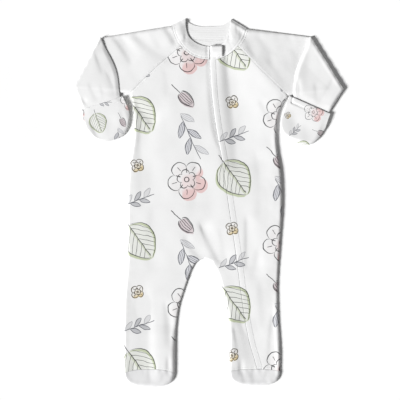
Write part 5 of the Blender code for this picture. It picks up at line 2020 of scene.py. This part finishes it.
@dataclass(frozen=True)
class JerseyFinish:
    """Cotton jersey: its colour, nap and print."""

    name: str
    colour: Colour = (0.745, 0.745, 0.745)
    roughness: float = 0.9
    sheen: float = 0.25
    sheen_roughness: float = 0.5
    gloss: float = 0.15
    tone: float = 0.1
    bump: float = 0.25
    bump_depth: float = 0.0002
    print_scale: float = 0.0
    print_turn: float = 0.0

    def material(self, jersey: Group, prints: Group) -> Material:
        """Builds the material.

        Args:
            jersey: The knit's node group.
            prints: The print's node group.

        Returns:
            The material.
        """
        material, shader, place = start_material(self.name)
        knit = jersey.use(place.tree, Place=place)
        base: Term | Colour = self.colour
        if self.print_scale > 0.0:
            drawn = prints.use(place.tree, Place=place.turned(self.print_turn),
                               Scale=self.print_scale)
            base = blend_colour(place.tree, 1.0, self.colour, drawn["Color"], "MULTIPLY")
        tinted = place.made("HueSaturation", {"Value": knit["Tone"] * self.tone + 1.0,
                                              "Color": base})
        finish_material(shader, tinted, knit["Height"], self.bump, self.bump_depth, {
            "Roughness": self.roughness, "Sheen Weight": self.sheen,
            "Sheen Roughness": self.sheen_roughness, "Specular IOR Level": self.gloss})
        return material


@dataclass(frozen=True)
class PlainFinish:
    """Thread, tape or lacquer: one colour with a fine grain."""

    name: str
    colour: Colour
    roughness: float
    grain: float = 700.0
    bump: float = 0.15
    bump_depth: float = 0.0001
    dark: float = 0.9

    def material(self) -> Material:
        """Builds the material."""
        material, shader, place = start_material(self.name)
        grain = place.noise(self.grain, 2.0)
        dark = tuple(self.dark * value for value in self.colour)
        finish_material(shader, blend_colour(place.tree, grain, self.colour, dark), grain,
                        self.bump, self.bump_depth, {"Roughness": self.roughness})
        return material


# ---- studio
@dataclass(frozen=True)
class Studio:
    """The pale floor, the soft light and the camera straight above."""

    field_width: float = 0.612
    camera_height: float = 2.4
    camera_x: float = -0.01438
    camera_y: float = 0.00497
    floor_size: float = 6.0
    floor_drop: float = 0.0004
    floor_colour: Colour = (0.93, 0.93, 0.93)
    sun_strength: float = 5.2
    sun_angle: float = 18.0
    sun_height: float = 35.0
    sun_turn: float = 201.0
    sky_strength: float = 0.2

    def camera(self) -> None:
        """A long lens that looks straight down, with the neck at the top of the frame."""
        data = bpy.data.cameras.new("camera")
        data.sensor_width = 36.0
        data.lens = data.sensor_width * self.camera_height / self.field_width
        data.clip_end = 20.0
        camera = bpy.data.objects.new("camera", data)
        camera.location = (self.camera_x, self.camera_y, self.camera_height)
        bpy.context.scene.collection.objects.link(camera)
        bpy.context.scene.camera = camera

    def floor(self) -> None:
        """A plain pale floor just under the garment."""
        half = self.floor_size / 2
        mesh = bpy.data.meshes.new("floor")
        corners = [(x * half, y * half, -self.floor_drop)
                   for x, y in ((-1, -1), (1, -1), (1, 1), (-1, 1))]
        mesh.from_pydata(corners, [], [(0, 1, 2, 3)])
        floor = bpy.data.objects.new("floor", mesh)
        bpy.context.scene.collection.objects.link(floor)
        mesh.materials.append(PlainFinish("floor", self.floor_colour, 0.9, 3.0, 0.0).material())

    def lights(self) -> None:
        """A soft sun from the left, low enough to show the folds, and a pale sky."""
        data = bpy.data.lights.new("key", "SUN")
        data.energy = self.sun_strength
        data.angle = float(np.radians(self.sun_angle))
        light = bpy.data.objects.new("key", data)
        light.rotation_euler = (0.0, float(np.radians(90.0 - self.sun_height)),
                                float(np.radians(self.sun_turn)))
        bpy.context.scene.collection.objects.link(light)
        world = bpy.data.worlds.new("sky")
        world.use_nodes = True
        sky = world.node_tree.nodes["Background"]
        sky.inputs["Color"].default_value = (1.0, 1.0, 1.0, 1.0)
        sky.inputs["Strength"].default_value = self.sky_strength
        bpy.context.scene.world = world

    def set_up(self) -> None:
        """Builds the whole studio."""
        self.camera()
        self.floor()
        self.lights()
        bpy.context.scene.view_settings.view_transform = "Standard"


# ---- whole suit
def main() -> None:
    """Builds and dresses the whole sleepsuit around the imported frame."""
    logging.basicConfig(level=logging.INFO, format="%(message)s")
    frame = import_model()
    Studio().set_up()
    jersey, prints = jersey_group(), print_group()
    printed = JerseyFinish("printed_jersey", print_scale=1.0).material(jersey, prints)
    cuff_finish = {
        Side.LEFT: JerseyFinish("left_cuff_print", print_scale=0.5, print_turn=0.3),
        Side.RIGHT: JerseyFinish("right_cuff_print", print_scale=0.5, print_turn=-0.4),
    }
    plain = JerseyFinish("plain_jersey").material(jersey, prints)
    foot = JerseyFinish("foot_jersey", colour=(0.69, 0.69, 0.695)).material(jersey, prints)
    band = JerseyFinish("band_jersey", colour=(0.74, 0.74, 0.74)).material(jersey, prints)
    tape = PlainFinish("zip_tape", (0.74, 0.74, 0.75), 0.7).material()
    coil = PlainFinish("zip_coil", (0.78, 0.78, 0.79), 0.4, bump=0.0).material()
    lacquer = PlainFinish("slider_lacquer", (0.75, 0.75, 0.76), 0.3, bump=0.05).material()
    thread = PlainFinish("thread", (0.80, 0.80, 0.80), 0.75, 1500.0).material()

    lay = Lay()
    Back().build(printed, plain)
    fronts = Fronts(lay)
    fronts.wide(printed)
    fronts.narrow(printed)
    feet = Feet(lay)
    zipper = Zip(lay)
    zipper.tape(tape)
    zipper.coil(coil)
    zipper.cover(printed)
    zipper.guard(band)
    slider = frame["nodes"]["zip_slider"]
    slider.data.materials.clear()
    slider.data.materials.append(lacquer)
    Neckband(lay).build(band)
    hems = []
    for side in Side:
        feet.toe(side, foot)
        feet.sole(side, foot)
        sleeve = Sleeve(side, lay)
        sleeve.build(plain)
        hems.append(Cuff(sleeve).build(cuff_finish[side].material(jersey, prints)))
    stitching = Stitching(lay)
    stitching.build(stitching.lines(zipper, hems), thread)


if __name__ == "__main__":
    main()
